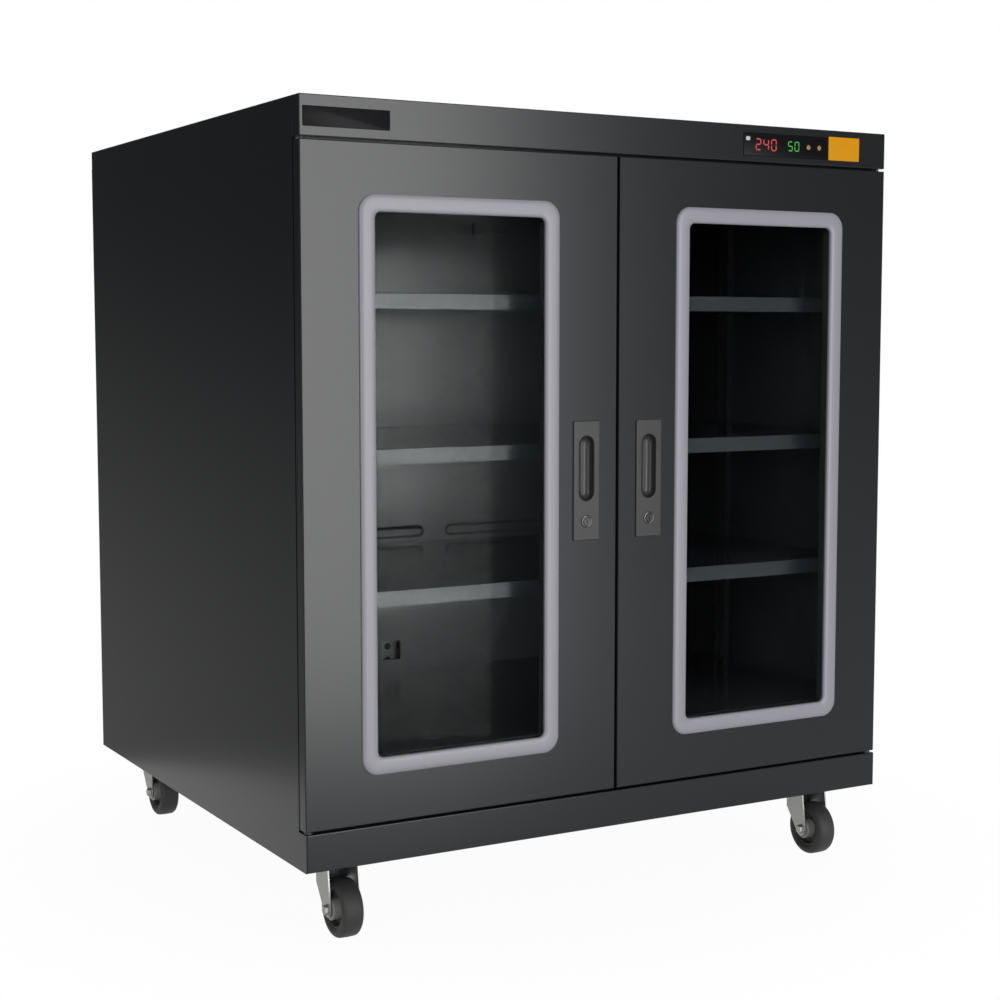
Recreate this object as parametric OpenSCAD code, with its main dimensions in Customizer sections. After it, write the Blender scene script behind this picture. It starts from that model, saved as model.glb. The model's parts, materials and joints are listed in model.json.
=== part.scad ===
// Electronic dry cabinet: two glazed lockable doors, three shelves, four swivel castors.
// Millimetres. The origin is on the floor under the middle of the body, +Z is up and
// the doors face -Y. Every piece is drawn where it sits with the doors shut.

/* [Body] */
// Width over the side panels
cabinet_w = 1200; // [1100:10:1400]
// Depth from the door faces to the rear panel
cabinet_d = 1080; // [1040:10:1300]
// Height of the body, from the plinth's foot to the top cover
body_h = 1252; // [1240:2:1500]
// Thickness of the folded steel sheet
sheet_t = 1.5; // [1:0.1:2]
// Height of the plinth's front
plinth_h = 63.5; // [55:0.5:90]
// Thickness of the plinth's steel
plinth_t = 2.5; // [2:0.1:4]
// Depth of the ledge along the plinth's top edge, behind the doors' sealing face
ledge_w = 20; // [15:1:40]
// Height of the header above the doors
header_h = 65.5; // [60:0.5:90]
// Height of the top cover's side skirts
skirt_h = 35.5; // [25:0.5:50]
// Width of the folds that take the rear panel's screws
rear_fold_w = 22; // [16:1:40]

/* [Interior] */
// Height of the inner floor above the plinth
floor_rise = 113; // [80:1:130]
// Drop of the inner ceiling below the header's lower edge
ceiling_drop = 45; // [35:1:70]
// Distance from the door faces to the inner back wall
inner_d = 694; // [650:2:760]
// Width of the sealing frame's side faces
frame_w = 48; // [42:1:70]
// Depth of the lip behind each side face
frame_lip = 14; // [8:1:20]
// Rise of the sealing frame behind the header
frame_rise = 20; // [10:1:30]
// Width of the post between the doors
post_w = 64; // [60:1:74]
// Width and depth of the stiffener behind the post
stiffener = [24, 22]; // [10:1:30]
// Height of the pressed beads in the back wall
bead_h = 26; // [16:1:40]
// Height of a bead's lower edge above the inner floor
bead_rise = 276; // [200:1:320]
// Depth of the pressing
bead_t = 4; // [2:0.5:6]
// Distance between the two beads across the middle
bead_gap = 49; // [46:1:80]
// Distance from a bead's outer end to the side wall
bead_margin = 70; // [40:1:120]

/* [Doors] */
// Thickness of a door
door_t = 24; // [22:0.5:30]
// Gap above and below a door
door_gap = 4.5; // [3:0.1:6]
// Gap between the two doors
centre_gap = 5.5; // [4:0.1:8]
// Gap between a shut door's back and the sealing frame
seal_gap = 4.2; // [3:0.1:6]
// Distances from the window trim to the door's hinge side and to its free side
door_stile = [101.5, 118.5]; // [95:0.5:160]
// Distance from the window trim to the door's upper and lower edges
door_rail = 81.5; // [50:0.5:160]
// Corner radius of the glass that shows
window_r = 11; // [6:0.5:20]
// Width of the window trim
trim_w = 28.5; // [20:0.5:40]
// How far the trim stands out of the door's face
trim_proud = 5; // [3:0.5:8]
// Outer corner radius of the trim
trim_r = 29.5; // [20:0.5:40]
// Overlap of the trim on the edge of the cut-out that it hides
trim_lap = 5; // [3:0.5:8]
// Thickness of the glass
glass_t = 5; // [4:0.5:6]
// How far the glass runs under the door's skin
glass_lap = 17; // [14:0.5:24]
// Room between the visible glass and the liner's collar
collar_gap = 4; // [2:0.5:8]
// Width of the door gasket
gasket_w = 14; // [10:0.5:16]
// Distance from a door's edge to its gasket
gasket_in = 14; // [12:0.5:16]
// Clearance between a soft seal and the face that it meets
soft_clear = 0.3; // [0.2:0.1:0.5]

/* [Hinges] */
// Radius of a hinge pin
pin_r = 4; // [3:0.1:5]
// Distance from a door's outer side to its hinge axis
hinge_in = 9; // [8.5:0.1:9]
// Running clearance of a pin in its bore
run_clear = 0.05; // [0.02:0.01:0.1]
// Clearance of the pin in the door's sheet
sheet_clear = 1.5; // [1:0.1:2]
// Height of the block that holds a pin's bore
bush_h = 14; // [10:1:25]
// Distance from the hinge axis to the block's inner side
bush_reach = 8; // [7:0.5:12]
// Radius and height of a pin's head
pin_head = [5, 4]; // [3:0.5:6]
// Radius of the washer under each door
washer_r = 7; // [6:0.5:8]

/* [Handles and locks] */
// Width and height of a handle plate
handle_size = [53.5, 208]; // [50:0.5:220]
// How far the plate stands out of the door's face
handle_proud = 3; // [2:0.5:4]
// Distance from the door's free edge to the middle of its handle
handle_in = 62.5; // [60:0.5:66]
// Drop of the handle's middle below the door's middle
handle_drop = 3.5; // [0:0.5:40]
// Width and height of the finger recess
recess_size = [29.5, 112]; // [26:0.5:120]
// Rise of the recess's middle above the plate's middle
recess_rise = 21.5; // [15:0.5:24]
// Depth of the recess
recess_depth = 15; // [12:0.5:17]
// Wall of the recess's cup
cup_t = 1.5; // [1:0.1:2]
// Clearance of a fixed piece in its hole
fixed_clear = 0.2; // [0.1:0.05:0.5]
// Drop of the lock's axis below the plate's middle
lock_drop = 71; // [68:0.5:80]
// Radius and thickness of the lock's rim
lock_rim = [11, 2]; // [1:0.5:12]
// Radius of the lock's housing
lock_r = 9.5; // [8:0.1:10]
// Radius of the barrel that the key turns
barrel_r = 6.5; // [5:0.1:7]
// Radius and thickness of the housing's nut
lock_nut = [13, 3.5]; // [3:0.5:14]
// Width, height and depth of the keyway
keyway = [1.8, 8, 4]; // [1:0.1:9]
// Length, width and thickness of the lock's cam
cam_size = [50, 12, 3]; // [2:0.5:52]
// Gap between the cam and the back of the post's face
cam_gap = 1; // [0.6:0.1:2]
// Radius and thickness of the screw head that holds the cam
cam_screw = [7, 4]; // [2:0.5:8]

/* [Shelves] */
// Distance from the door faces to a shelf's front
shelf_in = 65.5; // [50:0.5:90]
// Height of a shelf's folded edge
shelf_lip = 27; // [20:1:35]
// Gap between a shelf and the uprights beside it
shelf_clear = 2.5; // [1:0.5:5]
// Pitch of the slots in an upright
slot_pitch = 20; // [16:1:25]
// Height of the first slot above the inner floor
first_slot = 8; // [6:1:12]
// Heights of the shelves above the inner floor, each moved to the nearest slot
shelf_rise = [268, 508, 768]; // [150:1:840]
// Width and depth of a side upright
upright_size = [36, 12]; // [8:1:40]
// Gap between a shelf and the back wall
shelf_back = 8.5; // [6:0.5:20]
// Distances from the door faces to the middles of the side uprights
upright_in = [110, 485.5]; // [100:0.5:520]
// Width and height of a slot
slot_size = [4, 12]; // [3:0.5:14]
// Length, width and thickness of a shelf clip
clip_size = [20, 16, 5]; // [4:1:22]

/* [Display] */
// Width and height of the display strip
display_size = [194, 41.5]; // [40:0.5:200]
// Distance from the body's right side to the strip's right end
display_in = 138.5; // [80:0.5:200]
// Rise of the strip's lower edge above the header's lower edge
display_rise = 10.5; // [8:0.5:12]
// How far the strip stands out of the header
plate_proud = 1.5; // [1:0.1:2]
// Wall of the strip's box, and of its face behind the header's sheet
display_wall = 2; // [1.5:0.1:3]
// Depth of the strip's box behind the header's face
display_depth = 15; // [14:0.5:16]
// Distance from the strip's outline to its box
display_lap = 4; // [3:0.5:6]
// Distances from the strip's right end to the middles of its two keys
key_in = [21, 46]; // [16:0.5:60]
// Radius of a key
key_r = 4.5; // [3:0.1:5]
// How far a key stands out of the strip
key_proud = 0.8; // [0.5:0.1:1]
// Travel of a key
key_travel = 1; // [0.5:0.1:1.5]
// Sliding clearance round a key
key_clear = 0.1; // [0.05:0.01:0.2]
// Width and thickness of the collar that keeps a key in
key_collar = [1.5, 1.5]; // [1:0.1:2]
// Thickness of the control board
board_t = 1.6; // [1:0.1:2.4]
// Side of a switch body on the board
switch_w = 6; // [5:0.5:8]
// Width and height of the indicator plate
indicator_size = [73, 43]; // [40:0.5:76]
// Gap between the strip and the indicator plate
indicator_gap = 1.6; // [1:0.1:3]
// Width and height of the badge plate
badge_size = [152.5, 32]; // [28:0.5:160]
// Distance from the body's left side to the badge plate
badge_in = 6; // [5:0.5:20]
// Rise of the badge plate above the header's lower edge
badge_rise = 15; // [12:0.5:20]

/* [Drying unit] */
// Width, depth and height of the drying unit's case
dryer_size = [220, 110, 200]; // [100:1:240]
// Distance from the cabinet's middle to the air port's middle, to the left
port_x = 103.5; // [90:0.5:140]
// Height of the air port's middle above the inner floor
port_rise = 43.5; // [40:0.5:80]
// Width and height of an air port
port_size = [43, 39]; // [30:0.5:46]
// Thickness of the case's side walls, and of the walls that hold the shutters
dryer_wall = [3, 6]; // [2:0.5:8]
// Thickness of a shutter
shutter_t = 2; // [1:0.1:2.5]
// Overlap of a shutter round its port
shutter_lap = 3; // [2:0.5:5]
// Clearance round a shutter in its slot
shutter_clear = 0.3; // [0.2:0.05:0.5]
// Width, depth and height of the desiccant cartridge
cartridge_size = [180, 80, 150]; // [60:1:190]
// Radius and pitch of the cartridge's air holes
cartridge_hole = [7, 28]; // [4:1:32]
// Distance between the sensor's two screws
sensor_span = 135; // [100:1:160]
// Distance from the cabinet's middle to the sensor's left screw
sensor_x = 39.5; // [35:0.5:80]
// Drop of the sensor's rail below the inner ceiling
sensor_drop = 48; // [30:1:60]
// Height and thickness of the sensor's rail
sensor_rail = [16, 1.5]; // [1:0.5:20]
// Radius and thickness of a rail screw's head
rail_screw = [4.5, 2.5]; // [1:0.5:5]
// Width, depth and height of the sensor's capsule
capsule_size = [34, 14, 24]; // [10:1:40]

/* [Mains inlet] */
// Width and height of the inlet's flange
inlet_size = [64, 32]; // [30:0.5:70]
// Distance from the body's right side to the inlet's middle
inlet_in = 170; // [120:1:300]
// Height of the inlet above the plinth's foot
inlet_rise = 110; // [90:1:200]
// Distance from the flange's outline to the inlet's body
inlet_lap = 4; // [3:0.5:6]
// Depth of the inlet's body behind the rear panel
inlet_depth = 28; // [24:1:40]
// Width, height and depth of the socket
socket_size = [26, 19, 20]; // [14:0.5:26]
// Offsets of the socket and the switch from the flange's middle
inlet_offset = [-13, 19]; // [-16:0.5:22]
// Width, height and length of a socket blade
blade_size = [4, 2, 14]; // [1:0.5:16]
// Distance between the two outer blades, and rise of the middle one
blade_pitch = [14, 4]; // [3:0.5:16]
// Width, height and depth of the rocker
rocker_size = [12, 18, 9]; // [6:0.5:20]
// Clearance of the rocker in its hole
rocker_clear = 1.3; // [1:0.1:2]
// Depth of the rocker's pivot behind the rear panel's face
rocker_in = 1; // [0.5:0.1:2]
// Radius of the rocker's pivot pin
rocker_pin_r = 1.5; // [1:0.1:2]
// Angle between the rocker's two positions
rocker_swing = 14; // [8:1:16]
// Height of the rear panel's lowest vent slot above the plinth's foot
vent_rise = 560; // [400:10:700]
// Width and height of a vent slot
vent_size = [140, 4]; // [3:1:200]
// Pitch of the vent slots
vent_pitch = 14; // [10:1:20]
// Distance from the middle to the middle of each vent group
vent_x = 300; // [200:10:400]
// Number of vent slots in a group
vent_count = 8; // [3:1:12]
// Number of screws down each side of the rear panel
screw_count = 6; // [3:1:8]
// Radius and thickness of a rear screw's head
screw_head = [4.5, 2.2]; // [2:0.1:6]
// Radius and length of a rear screw's shank
screw_shank = [2, 8]; // [1.5:0.1:10]

/* [Castors] */
// Height of a castor, from the floor to the plinth
castor_h = 138; // [130:1:160]
// Distances from the body's sides and ends to the swivel axes
castor_in = [94.5, 87]; // [80:0.5:120]
// Radius of a wheel
wheel_r = 50; // [40:1:52]
// Width of a wheel's tread
wheel_w = 38; // [30:1:42]
// Radius of the tread's rounded shoulders
shoulder_r = 7; // [4:0.5:10]
// Radius of the wheel's core under the tyre
core_r = 34; // [26:1:36]
// Forward offset of the axle from the swivel axis
trail = 20.5; // [10:0.5:30]
// Width over a fork's two cheeks
fork_w = 58; // [54:1:66]
// Thickness of a fork's cheeks
fork_t = 2.5; // [2:0.1:4]
// Width of a cheek at its top
cheek_w = 46; // [40:1:50]
// Radius of a cheek's rounded foot
cheek_r = 13; // [12:0.5:18]
// Radius of the axle
axle_r = 6; // [4:0.5:7]
// Across-corner radius and thickness of the axle's head and nut
axle_head = [10, 6]; // [3:0.5:12]
// Radius of the wheel's boss
boss_r = 12; // [10:0.5:16]
// Gap between the boss and each cheek
boss_gap = 0.5; // [0.3:0.1:1]
// Thickness of the wheel's web
web_t = 12; // [8:1:20]
// Thickness of the wheel core's rim
rim_t = 5; // [3:0.5:8]
// Length, width and thickness of a castor's plate
castor_plate = [100, 86, 4]; // [3:1:110]
// Radius and thickness of each half of the swivel race
race_size = [27, 3.5]; // [3:0.5:30]
// Gap between the two halves of the race
race_gap = 0.3; // [0.2:0.1:0.5]
// Radius of the kingpin
kingpin_r = 5; // [4:0.5:6]
// Radius and thickness of the kingpin's head
kingpin_head = [9, 4]; // [3:0.5:10]
// Across-corner radius and thickness of a plate bolt's head
bolt_head = [6.5, 5]; // [3:0.5:8]
// Distance from a plate's edge to its bolts
bolt_in = 11; // [10:0.5:14]

/* [Hidden] */

$fn = 48;
overcut = sheet_t;

steel_colour = "#3a3c3f";
inside_colour = "#2f3134";
trim_colour = "#a6a4b0";
zinc_colour = "#9b9c98";
black_colour = "#151515";
rubber_colour = "#38363a";
bright_colour = "#c8c8c8";

half_w = cabinet_w / 2;
half_d = cabinet_d / 2;
inside_x = half_w - sheet_t;
base_z = castor_h;
top_z = castor_h + body_h;
plinth_top = base_z + plinth_h;
header_z = top_z - header_h;
skirt_z = top_z - skirt_h;
floor_z = plinth_top + floor_rise;
ceiling_z = header_z - ceiling_drop;
wall_y = inner_d - half_d;
door_face = -half_d;
door_back = door_face + door_t;
frame_y = door_back + seal_gap;
frame_back = frame_y + sheet_t;
door_z = [plinth_top + door_gap, header_z - door_gap];
door_x = [-half_w, -centre_gap / 2];
door_mid = [(door_x[0] + door_x[1]) / 2, (door_z[0] + door_z[1]) / 2];
door_size = [door_x[1] - door_x[0], door_z[1] - door_z[0]];
window_mid = [door_mid[0] + (door_stile[0] - door_stile[1]) / 2, door_mid[1]];
window_size = [door_size[0] - door_stile[0] - door_stile[1] - 2 * trim_w,
               door_size[1] - 2 * door_rail - 2 * trim_w];
hinge_x = -half_w + hinge_in;
hinge_y = door_face + door_t / 2;
handle_mid = [door_x[1] - handle_in, door_mid[1] - handle_drop];
recess_mid = [handle_mid[0], handle_mid[1] + recess_rise];
lock_mid = [handle_mid[0], handle_mid[1] - lock_drop];
handle_face = door_face - handle_proud;
lock_face = handle_face - lock_rim[1];
cam_y = frame_back + cam_gap;
shelf_half = inside_x - upright_size[1] - shelf_clear;
shelf_y = [door_face + shelf_in, wall_y - shelf_back];
shelf_z = [for (rise = shelf_rise)
  floor_z + first_slot + round((rise - first_slot) / slot_pitch) * slot_pitch];
slot_count = floor((ceiling_z - floor_z - 2 * first_slot) / slot_pitch);
display_z = header_z + display_rise + display_size[1] / 2;
display_x = half_w - display_in - display_size[0];
display_mid = display_x + display_size[0] / 2;
strip_face = door_face - plate_proud;
strip_wall = plate_proud + display_wall;
board_y = door_face + display_depth;
port_z = floor_z + port_rise;
dryer_y = wall_y + sheet_t;
shutter_size = [port_size[0] + 2 * shutter_lap, port_size[1] + 2 * shutter_lap];
shutter_travel = port_size[1] + 2 * shutter_lap;
inlet_x = half_w - inlet_in;
inlet_z = base_z + inlet_rise;
screw_x = inside_x - rear_fold_w / 2;
castor_x = half_w - castor_in[0];
castor_y = half_d - castor_in[1];
fork_top = castor_h - castor_plate[2] - 2 * race_size[1] - race_gap;
web_z = fork_top - fork_t;

// A block given by its limits along each axis
module block(x, y, z)
  translate([x[0], y[0], z[0]]) cube([x[1] - x[0], y[1] - y[0], z[1] - z[0]]);

// A flat outline in X and Z, made thick from y[0] to y[1]
module upright_plate(y)
  translate([0, y[1], 0]) rotate([90, 0, 0]) linear_extrude(y[1] - y[0]) children();

// A rectangle about its middle with true round corners
module round_rect(size, r) {
  square([size[0] - 2 * r, size[1]], center = true);
  square([size[0], size[1] - 2 * r], center = true);
  for (sx = [-1, 1], sz = [-1, 1])
    translate([sx * (size[0] / 2 - r), sz * (size[1] / 2 - r)]) circle(r);
}

// A slot outline with half-round ends, standing up
module obround(size) {
  run = (size[1] - size[0]) / 2;
  square([size[0], 2 * run], center = true);
  for (end = [-run, run]) translate([0, end]) circle(size[0] / 2);
}

// A round bar along Y
module bar_y(r, y) translate([0, y[1], 0]) rotate([90, 0, 0]) cylinder(h = y[1] - y[0], r = r);

// A round or many-sided bar along X
module bar_x(r, x, sides = $fn)
  translate([x[0], 0, 0]) rotate([0, 90, 0]) cylinder(h = x[1] - x[0], r = r, $fn = sides);

function grown(size, by) = [size[0] + 2 * by, size[1] + 2 * by];
function span(mid, width) = [mid - width / 2, mid + width / 2];

// Body

// Tray that carries the body: closed front rail with a ledge, open top behind it
module plinth() color(steel_colour) difference() {
  block([-inside_x, inside_x], [-half_d, half_d - sheet_t], [base_z, plinth_top]);
  block([-inside_x + plinth_t, inside_x - plinth_t],
        [-half_d + plinth_t, half_d - sheet_t - plinth_t],
        [base_z + plinth_t, plinth_top - plinth_t]);
  block([-inside_x + plinth_t, inside_x - plinth_t],
        [frame_y + ledge_w, half_d - sheet_t - plinth_t], [base_z + plinth_t, plinth_top + overcut]);
  for (side = [-1, 1]) translate([side * hinge_x, hinge_y, plinth_top - plinth_t - overcut])
    cylinder(h = plinth_t + 2 * overcut, r = pin_r + run_clear);
}

// Side panel, notched round the door, with a fold for the rear panel's screws
module side_panel(side) color(steel_colour) mirror([side < 0 ? 1 : 0, 0, 0]) difference() {
  union() {
    translate([inside_x, 0, 0]) rotate([90, 0, 90]) linear_extrude(sheet_t) polygon([
      [-half_d, base_z], [half_d, base_z], [half_d, skirt_z], [frame_y, skirt_z],
      [frame_y, plinth_top], [-half_d, plinth_top]
    ]);
    block([inside_x - rear_fold_w, inside_x], [half_d - 2 * sheet_t, half_d - sheet_t],
          [plinth_top, skirt_z]);
  }
  screw_holes();
}

function screw_z(i) = plinth_top + (i + 1 / 2) * (skirt_z - plinth_top) / screw_count;

module screw_holes()
  for (i = [0 : screw_count - 1]) translate([screw_x, 0, screw_z(i)])
    bar_y(screw_shank[0] + run_clear, [half_d - screw_shank[1], half_d + overcut]);

// Rear panel with two groups of vent slots and the inlet's hole
module rear_panel() color(steel_colour) difference() {
  block([-inside_x, inside_x], [half_d - sheet_t, half_d], [base_z, skirt_z]);
  screw_holes();
  mirror([1, 0, 0]) screw_holes();
  for (side = [-1, 1], i = [0 : vent_count - 1])
    translate([side * vent_x, 0, base_z + vent_rise + i * vent_pitch])
      upright_plate([half_d - sheet_t - overcut, half_d + overcut])
        rotate(90) obround([vent_size[1], vent_size[0]]);
  block(span(inlet_x, inlet_size[0] - 2 * inlet_lap), [half_d - sheet_t - overcut, half_d + overcut],
        span(inlet_z, inlet_size[1] - 2 * inlet_lap));
}

// Top cover: lid, side skirts and the deep hollow header over the doors
module top_cover() color(steel_colour) difference() {
  union() {
    block([-half_w, half_w], [-half_d, half_d], [skirt_z, top_z]);
    block([-half_w, half_w], [-half_d, frame_y], [header_z, top_z]);
  }
  block([-inside_x, inside_x], [-half_d + sheet_t, half_d - sheet_t], [skirt_z, top_z - sheet_t]);
  block([-inside_x, inside_x], [-half_d + sheet_t, frame_y + overcut],
        [header_z + sheet_t, top_z - sheet_t]);
  block([-inside_x, inside_x], [frame_y, half_d - sheet_t], [header_z - overcut, top_z - sheet_t]);
  block(span(display_mid, display_size[0] - 2 * display_lap), [-half_d - overcut, frame_y],
        span(display_z, display_size[1] - 2 * display_lap));
  for (side = [-1, 1]) translate([side * hinge_x, hinge_y, header_z - overcut])
    cylinder(h = sheet_t + 2 * overcut, r = pin_r + run_clear);
}

// Inner back wall with two beads pressed into it, and the air port
module back_wall() color(inside_colour) difference() {
  union() {
    block([-inside_x, inside_x], [wall_y, dryer_y], [plinth_top, ceiling_z]);
    beads([wall_y, dryer_y + bead_t], sheet_t);
  }
  beads([wall_y - overcut, wall_y + bead_t], 0);
  block(span(-port_x, port_size[0]), [wall_y - overcut, dryer_y + overcut],
        span(port_z, port_size[1]));
}

module beads(y, by) for (side = [-1, 1]) {
  bead_w = inside_x - bead_margin - bead_gap / 2;
  translate([side * (bead_gap + bead_w) / 2, 0, floor_z + bead_rise + bead_h / 2])
    upright_plate(y) rotate(90) obround([bead_h + 2 * by, bead_w + 2 * by]);
}

// Inner floor, folded down to stand on the plinth
module floor_panel() color(inside_colour) difference() {
  block([-inside_x, inside_x], [frame_back, wall_y], [plinth_top, floor_z]);
  block([-inside_x + sheet_t, inside_x - sheet_t], [frame_back - overcut, wall_y - sheet_t],
        [plinth_top - overcut, floor_z - sheet_t]);
}

module ceiling_panel() color(inside_colour)
  block([-inside_x, inside_x], [frame_back, dryer_y], [ceiling_z, ceiling_z + sheet_t]);

// Frame that the gaskets meet, with the post that both lock cams catch
module door_frame() color(inside_colour) {
  open_x = inside_x - frame_w;
  difference() {
    block([-inside_x, inside_x], [frame_y, frame_back], [plinth_top, header_z + frame_rise]);
    for (side = [0, 1]) mirror([side, 0, 0])
      block([post_w / 2, open_x], [frame_y - overcut, frame_back + overcut], [floor_z, ceiling_z]);
  }
  for (side = [0, 1]) mirror([side, 0, 0])
    block([open_x, open_x + sheet_t], [frame_back, frame_back + frame_lip], [floor_z, ceiling_z]);
  difference() {
    block(span(0, stiffener[0]), [frame_back, frame_back + stiffener[1]], [floor_z, ceiling_z]);
    block(span(0, stiffener[0] - 2 * sheet_t),
          [frame_back, frame_back + stiffener[1] - sheet_t],
          [floor_z - overcut, ceiling_z + overcut]);
  }
}

// Pins in the header and the plinth, with a washer that carries each door
module hinge_pins() color(zinc_colour) for (side = [-1, 1]) translate([side * hinge_x, hinge_y, 0]) {
  top_end = door_z[1] - sheet_t - bush_h + sheet_clear;
  foot_end = door_z[0] + sheet_t + bush_h - sheet_clear;
  translate([0, 0, top_end]) cylinder(h = header_z + sheet_t - top_end, r = pin_r);
  translate([0, 0, header_z + sheet_t]) cylinder(h = pin_head[1], r = pin_head[0]);
  translate([0, 0, plinth_top - plinth_t]) cylinder(h = foot_end - plinth_top + plinth_t, r = pin_r);
  translate([0, 0, plinth_top - plinth_t - pin_head[1]]) cylinder(h = pin_head[1], r = pin_head[0]);
  translate([0, 0, plinth_top]) cylinder(h = door_gap - soft_clear, r = washer_r);
}

// Shelves

// A slotted channel that stands on X = 0 and opens towards -X
module channel(size) difference() {
  block([0, size[1]], span(0, size[0]), [floor_z, ceiling_z]);
  block([-overcut, size[1] - sheet_t], span(0, size[0] - 2 * sheet_t),
        [floor_z - overcut, ceiling_z + overcut]);
  for (i = [0 : slot_count])
    block([size[1] - sheet_t - overcut, size[1] + overcut], span(0, slot_size[0]),
          span(floor_z + first_slot + i * slot_pitch, slot_size[1]));
}

// A clip under a shelf's fold, standing out of X = 0
module clip(z) block([0, clip_size[0]], span(0, clip_size[1]), [z - clip_size[2], z]);

// Slotted uprights on the side walls, with a clip at each shelf
module shelf_supports() color(zinc_colour) {
  for (side = [0, 1], y = upright_in) mirror([side, 0, 0])
    translate([-inside_x, door_face + y, 0]) {
      channel(upright_size);
      for (z = shelf_z) translate([upright_size[1], 0, 0]) clip(z - shelf_lip);
    }
}

// Shelf folded down on all four sides
module shelf(z) color(inside_colour) difference() {
  block([-shelf_half, shelf_half], shelf_y, [z - shelf_lip, z]);
  block([-shelf_half + sheet_t, shelf_half - sheet_t], [shelf_y[0] + sheet_t, shelf_y[1] - sheet_t],
        [z - shelf_lip - overcut, z - sheet_t]);
}

// Drying unit and sensor

module dryer_case() color(bright_colour) {
  x = span(-port_x, dryer_size[0]);
  y = [dryer_y, dryer_y + dryer_size[1]];
  z = span(port_z, dryer_size[2]);
  difference() {
    block(x, y, z);
    block([x[0] + dryer_wall[0], x[1] - dryer_wall[0]], [y[0] + dryer_wall[1], y[1] - dryer_wall[1]],
          [z[0] + dryer_wall[0], z[1] - dryer_wall[0]]);
    block(span(-port_x, port_size[0]), [y[0] - overcut, y[1] + overcut], span(port_z, port_size[1]));
    shutter_slot(y[0] + dryer_wall[1] / 2, [-shutter_travel, 0]);
    shutter_slot(y[1] - dryer_wall[1] / 2, [0, shutter_travel]);
  }
}

// Slot that a shutter slides in, between two places given about the port
module shutter_slot(y, reach)
  block(span(-port_x, shutter_size[0] + 2 * shutter_clear), span(y, shutter_t + 2 * shutter_clear),
        [port_z + reach[0] - shutter_size[1] / 2 - shutter_clear,
         port_z + reach[1] + shutter_size[1] / 2 + shutter_clear]);

module shutter(y, rise) color(bright_colour)
  block(span(-port_x, shutter_size[0]), span(y, shutter_t), span(port_z + rise, shutter_size[1]));

// Box of desiccant with air holes from front to back
module desiccant_cartridge() color("white") {
  foot = port_z - dryer_size[2] / 2 + dryer_wall[0];
  y = span(dryer_y + dryer_size[1] / 2, cartridge_size[1]);
  reach = [(cartridge_size[0] / 2 - cartridge_hole[1] / 2) / cartridge_hole[1],
           (cartridge_size[2] / 2 - cartridge_hole[1] / 2) / cartridge_hole[1]];
  difference() {
    block(span(-port_x, cartridge_size[0]), y, [foot, foot + cartridge_size[2]]);
    for (i = [-floor(reach[0]) : floor(reach[0])], j = [-floor(reach[1]) : floor(reach[1])])
      translate([-port_x + i * cartridge_hole[1], 0,
                 foot + cartridge_size[2] / 2 + j * cartridge_hole[1]])
        bar_y(cartridge_hole[0], [y[0] - overcut, y[1] + overcut]);
  }
}

// Rail on the back wall with its two screws and the humidity sensor's capsule
module sensor() color(bright_colour) {
  mid = sensor_x + sensor_span / 2;
  z = ceiling_z - sensor_drop;
  face = wall_y - sensor_rail[1];
  translate([mid, 0, z]) upright_plate([face, wall_y])
    rotate(90) obround([sensor_rail[0], sensor_span + sensor_rail[0]]);
  for (end = span(mid, sensor_span)) translate([end, 0, z])
    bar_y(rail_screw[0], [face - rail_screw[1], face]);
  block(span(mid, capsule_size[0]), [face - capsule_size[1], face], span(z, capsule_size[2]));
}

// Mains inlet and rear screws

module power_inlet() color(black_colour) difference() {
  face = half_d + trim_proud;
  union() {
    block(span(inlet_x, inlet_size[0]), [half_d, face], span(inlet_z, inlet_size[1]));
    block(span(inlet_x, inlet_size[0] - 2 * inlet_lap), [half_d - inlet_depth, half_d],
          span(inlet_z, inlet_size[1] - 2 * inlet_lap));
  }
  block(span(inlet_x + inlet_offset[0], socket_size[0]), [face - socket_size[2], face + overcut],
        span(inlet_z, socket_size[1]));
  block(span(inlet_x + inlet_offset[1], rocker_size[0] + rocker_clear),
        [half_d - rocker_in - rocker_size[2], face + overcut],
        span(inlet_z, rocker_size[1] + 2 * rocker_clear));
  translate([inlet_x + inlet_offset[1], half_d - rocker_in, inlet_z])
    bar_x(rocker_pin_r + run_clear, span(0, rocker_size[0] + 2 * display_wall));
}

// Three blades that stand on the socket's floor, the middle one higher than the others
module inlet_blades() color(bright_colour) for (i = [-1, 0, 1]) {
  floor_y = half_d + trim_proud - socket_size[2];
  block(span(inlet_x + inlet_offset[0] + i * blade_pitch[0] / 2, blade_size[1]),
        [floor_y, floor_y + blade_size[2]],
        span(inlet_z + (i == 0 ? blade_pitch[1] : -blade_pitch[1] / 2), blade_size[0]));
}

// Rocker with its pivot pin, drawn tipped to its off position
module rocker_switch() color(black_colour)
  translate([inlet_x + inlet_offset[1], half_d - rocker_in, inlet_z])
    rotate([rocker_swing / 2, 0, 0]) {
      block(span(0, rocker_size[0]), [-rocker_size[2] / 2, rocker_size[2] / 2],
            span(0, rocker_size[1]));
      bar_x(rocker_pin_r, span(0, rocker_size[0] + 2 * rocker_clear));
    }

module rear_screws() color(zinc_colour)
  for (side = [0, 1], i = [0 : screw_count - 1]) mirror([side, 0, 0])
    translate([screw_x, 0, screw_z(i)]) {
      bar_y(screw_head[0], [half_d, half_d + screw_head[1]]);
      bar_y(screw_shank[0], [half_d - screw_shank[1] + sheet_t, half_d]);
    }

// Display, keys and plates on the header

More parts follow.
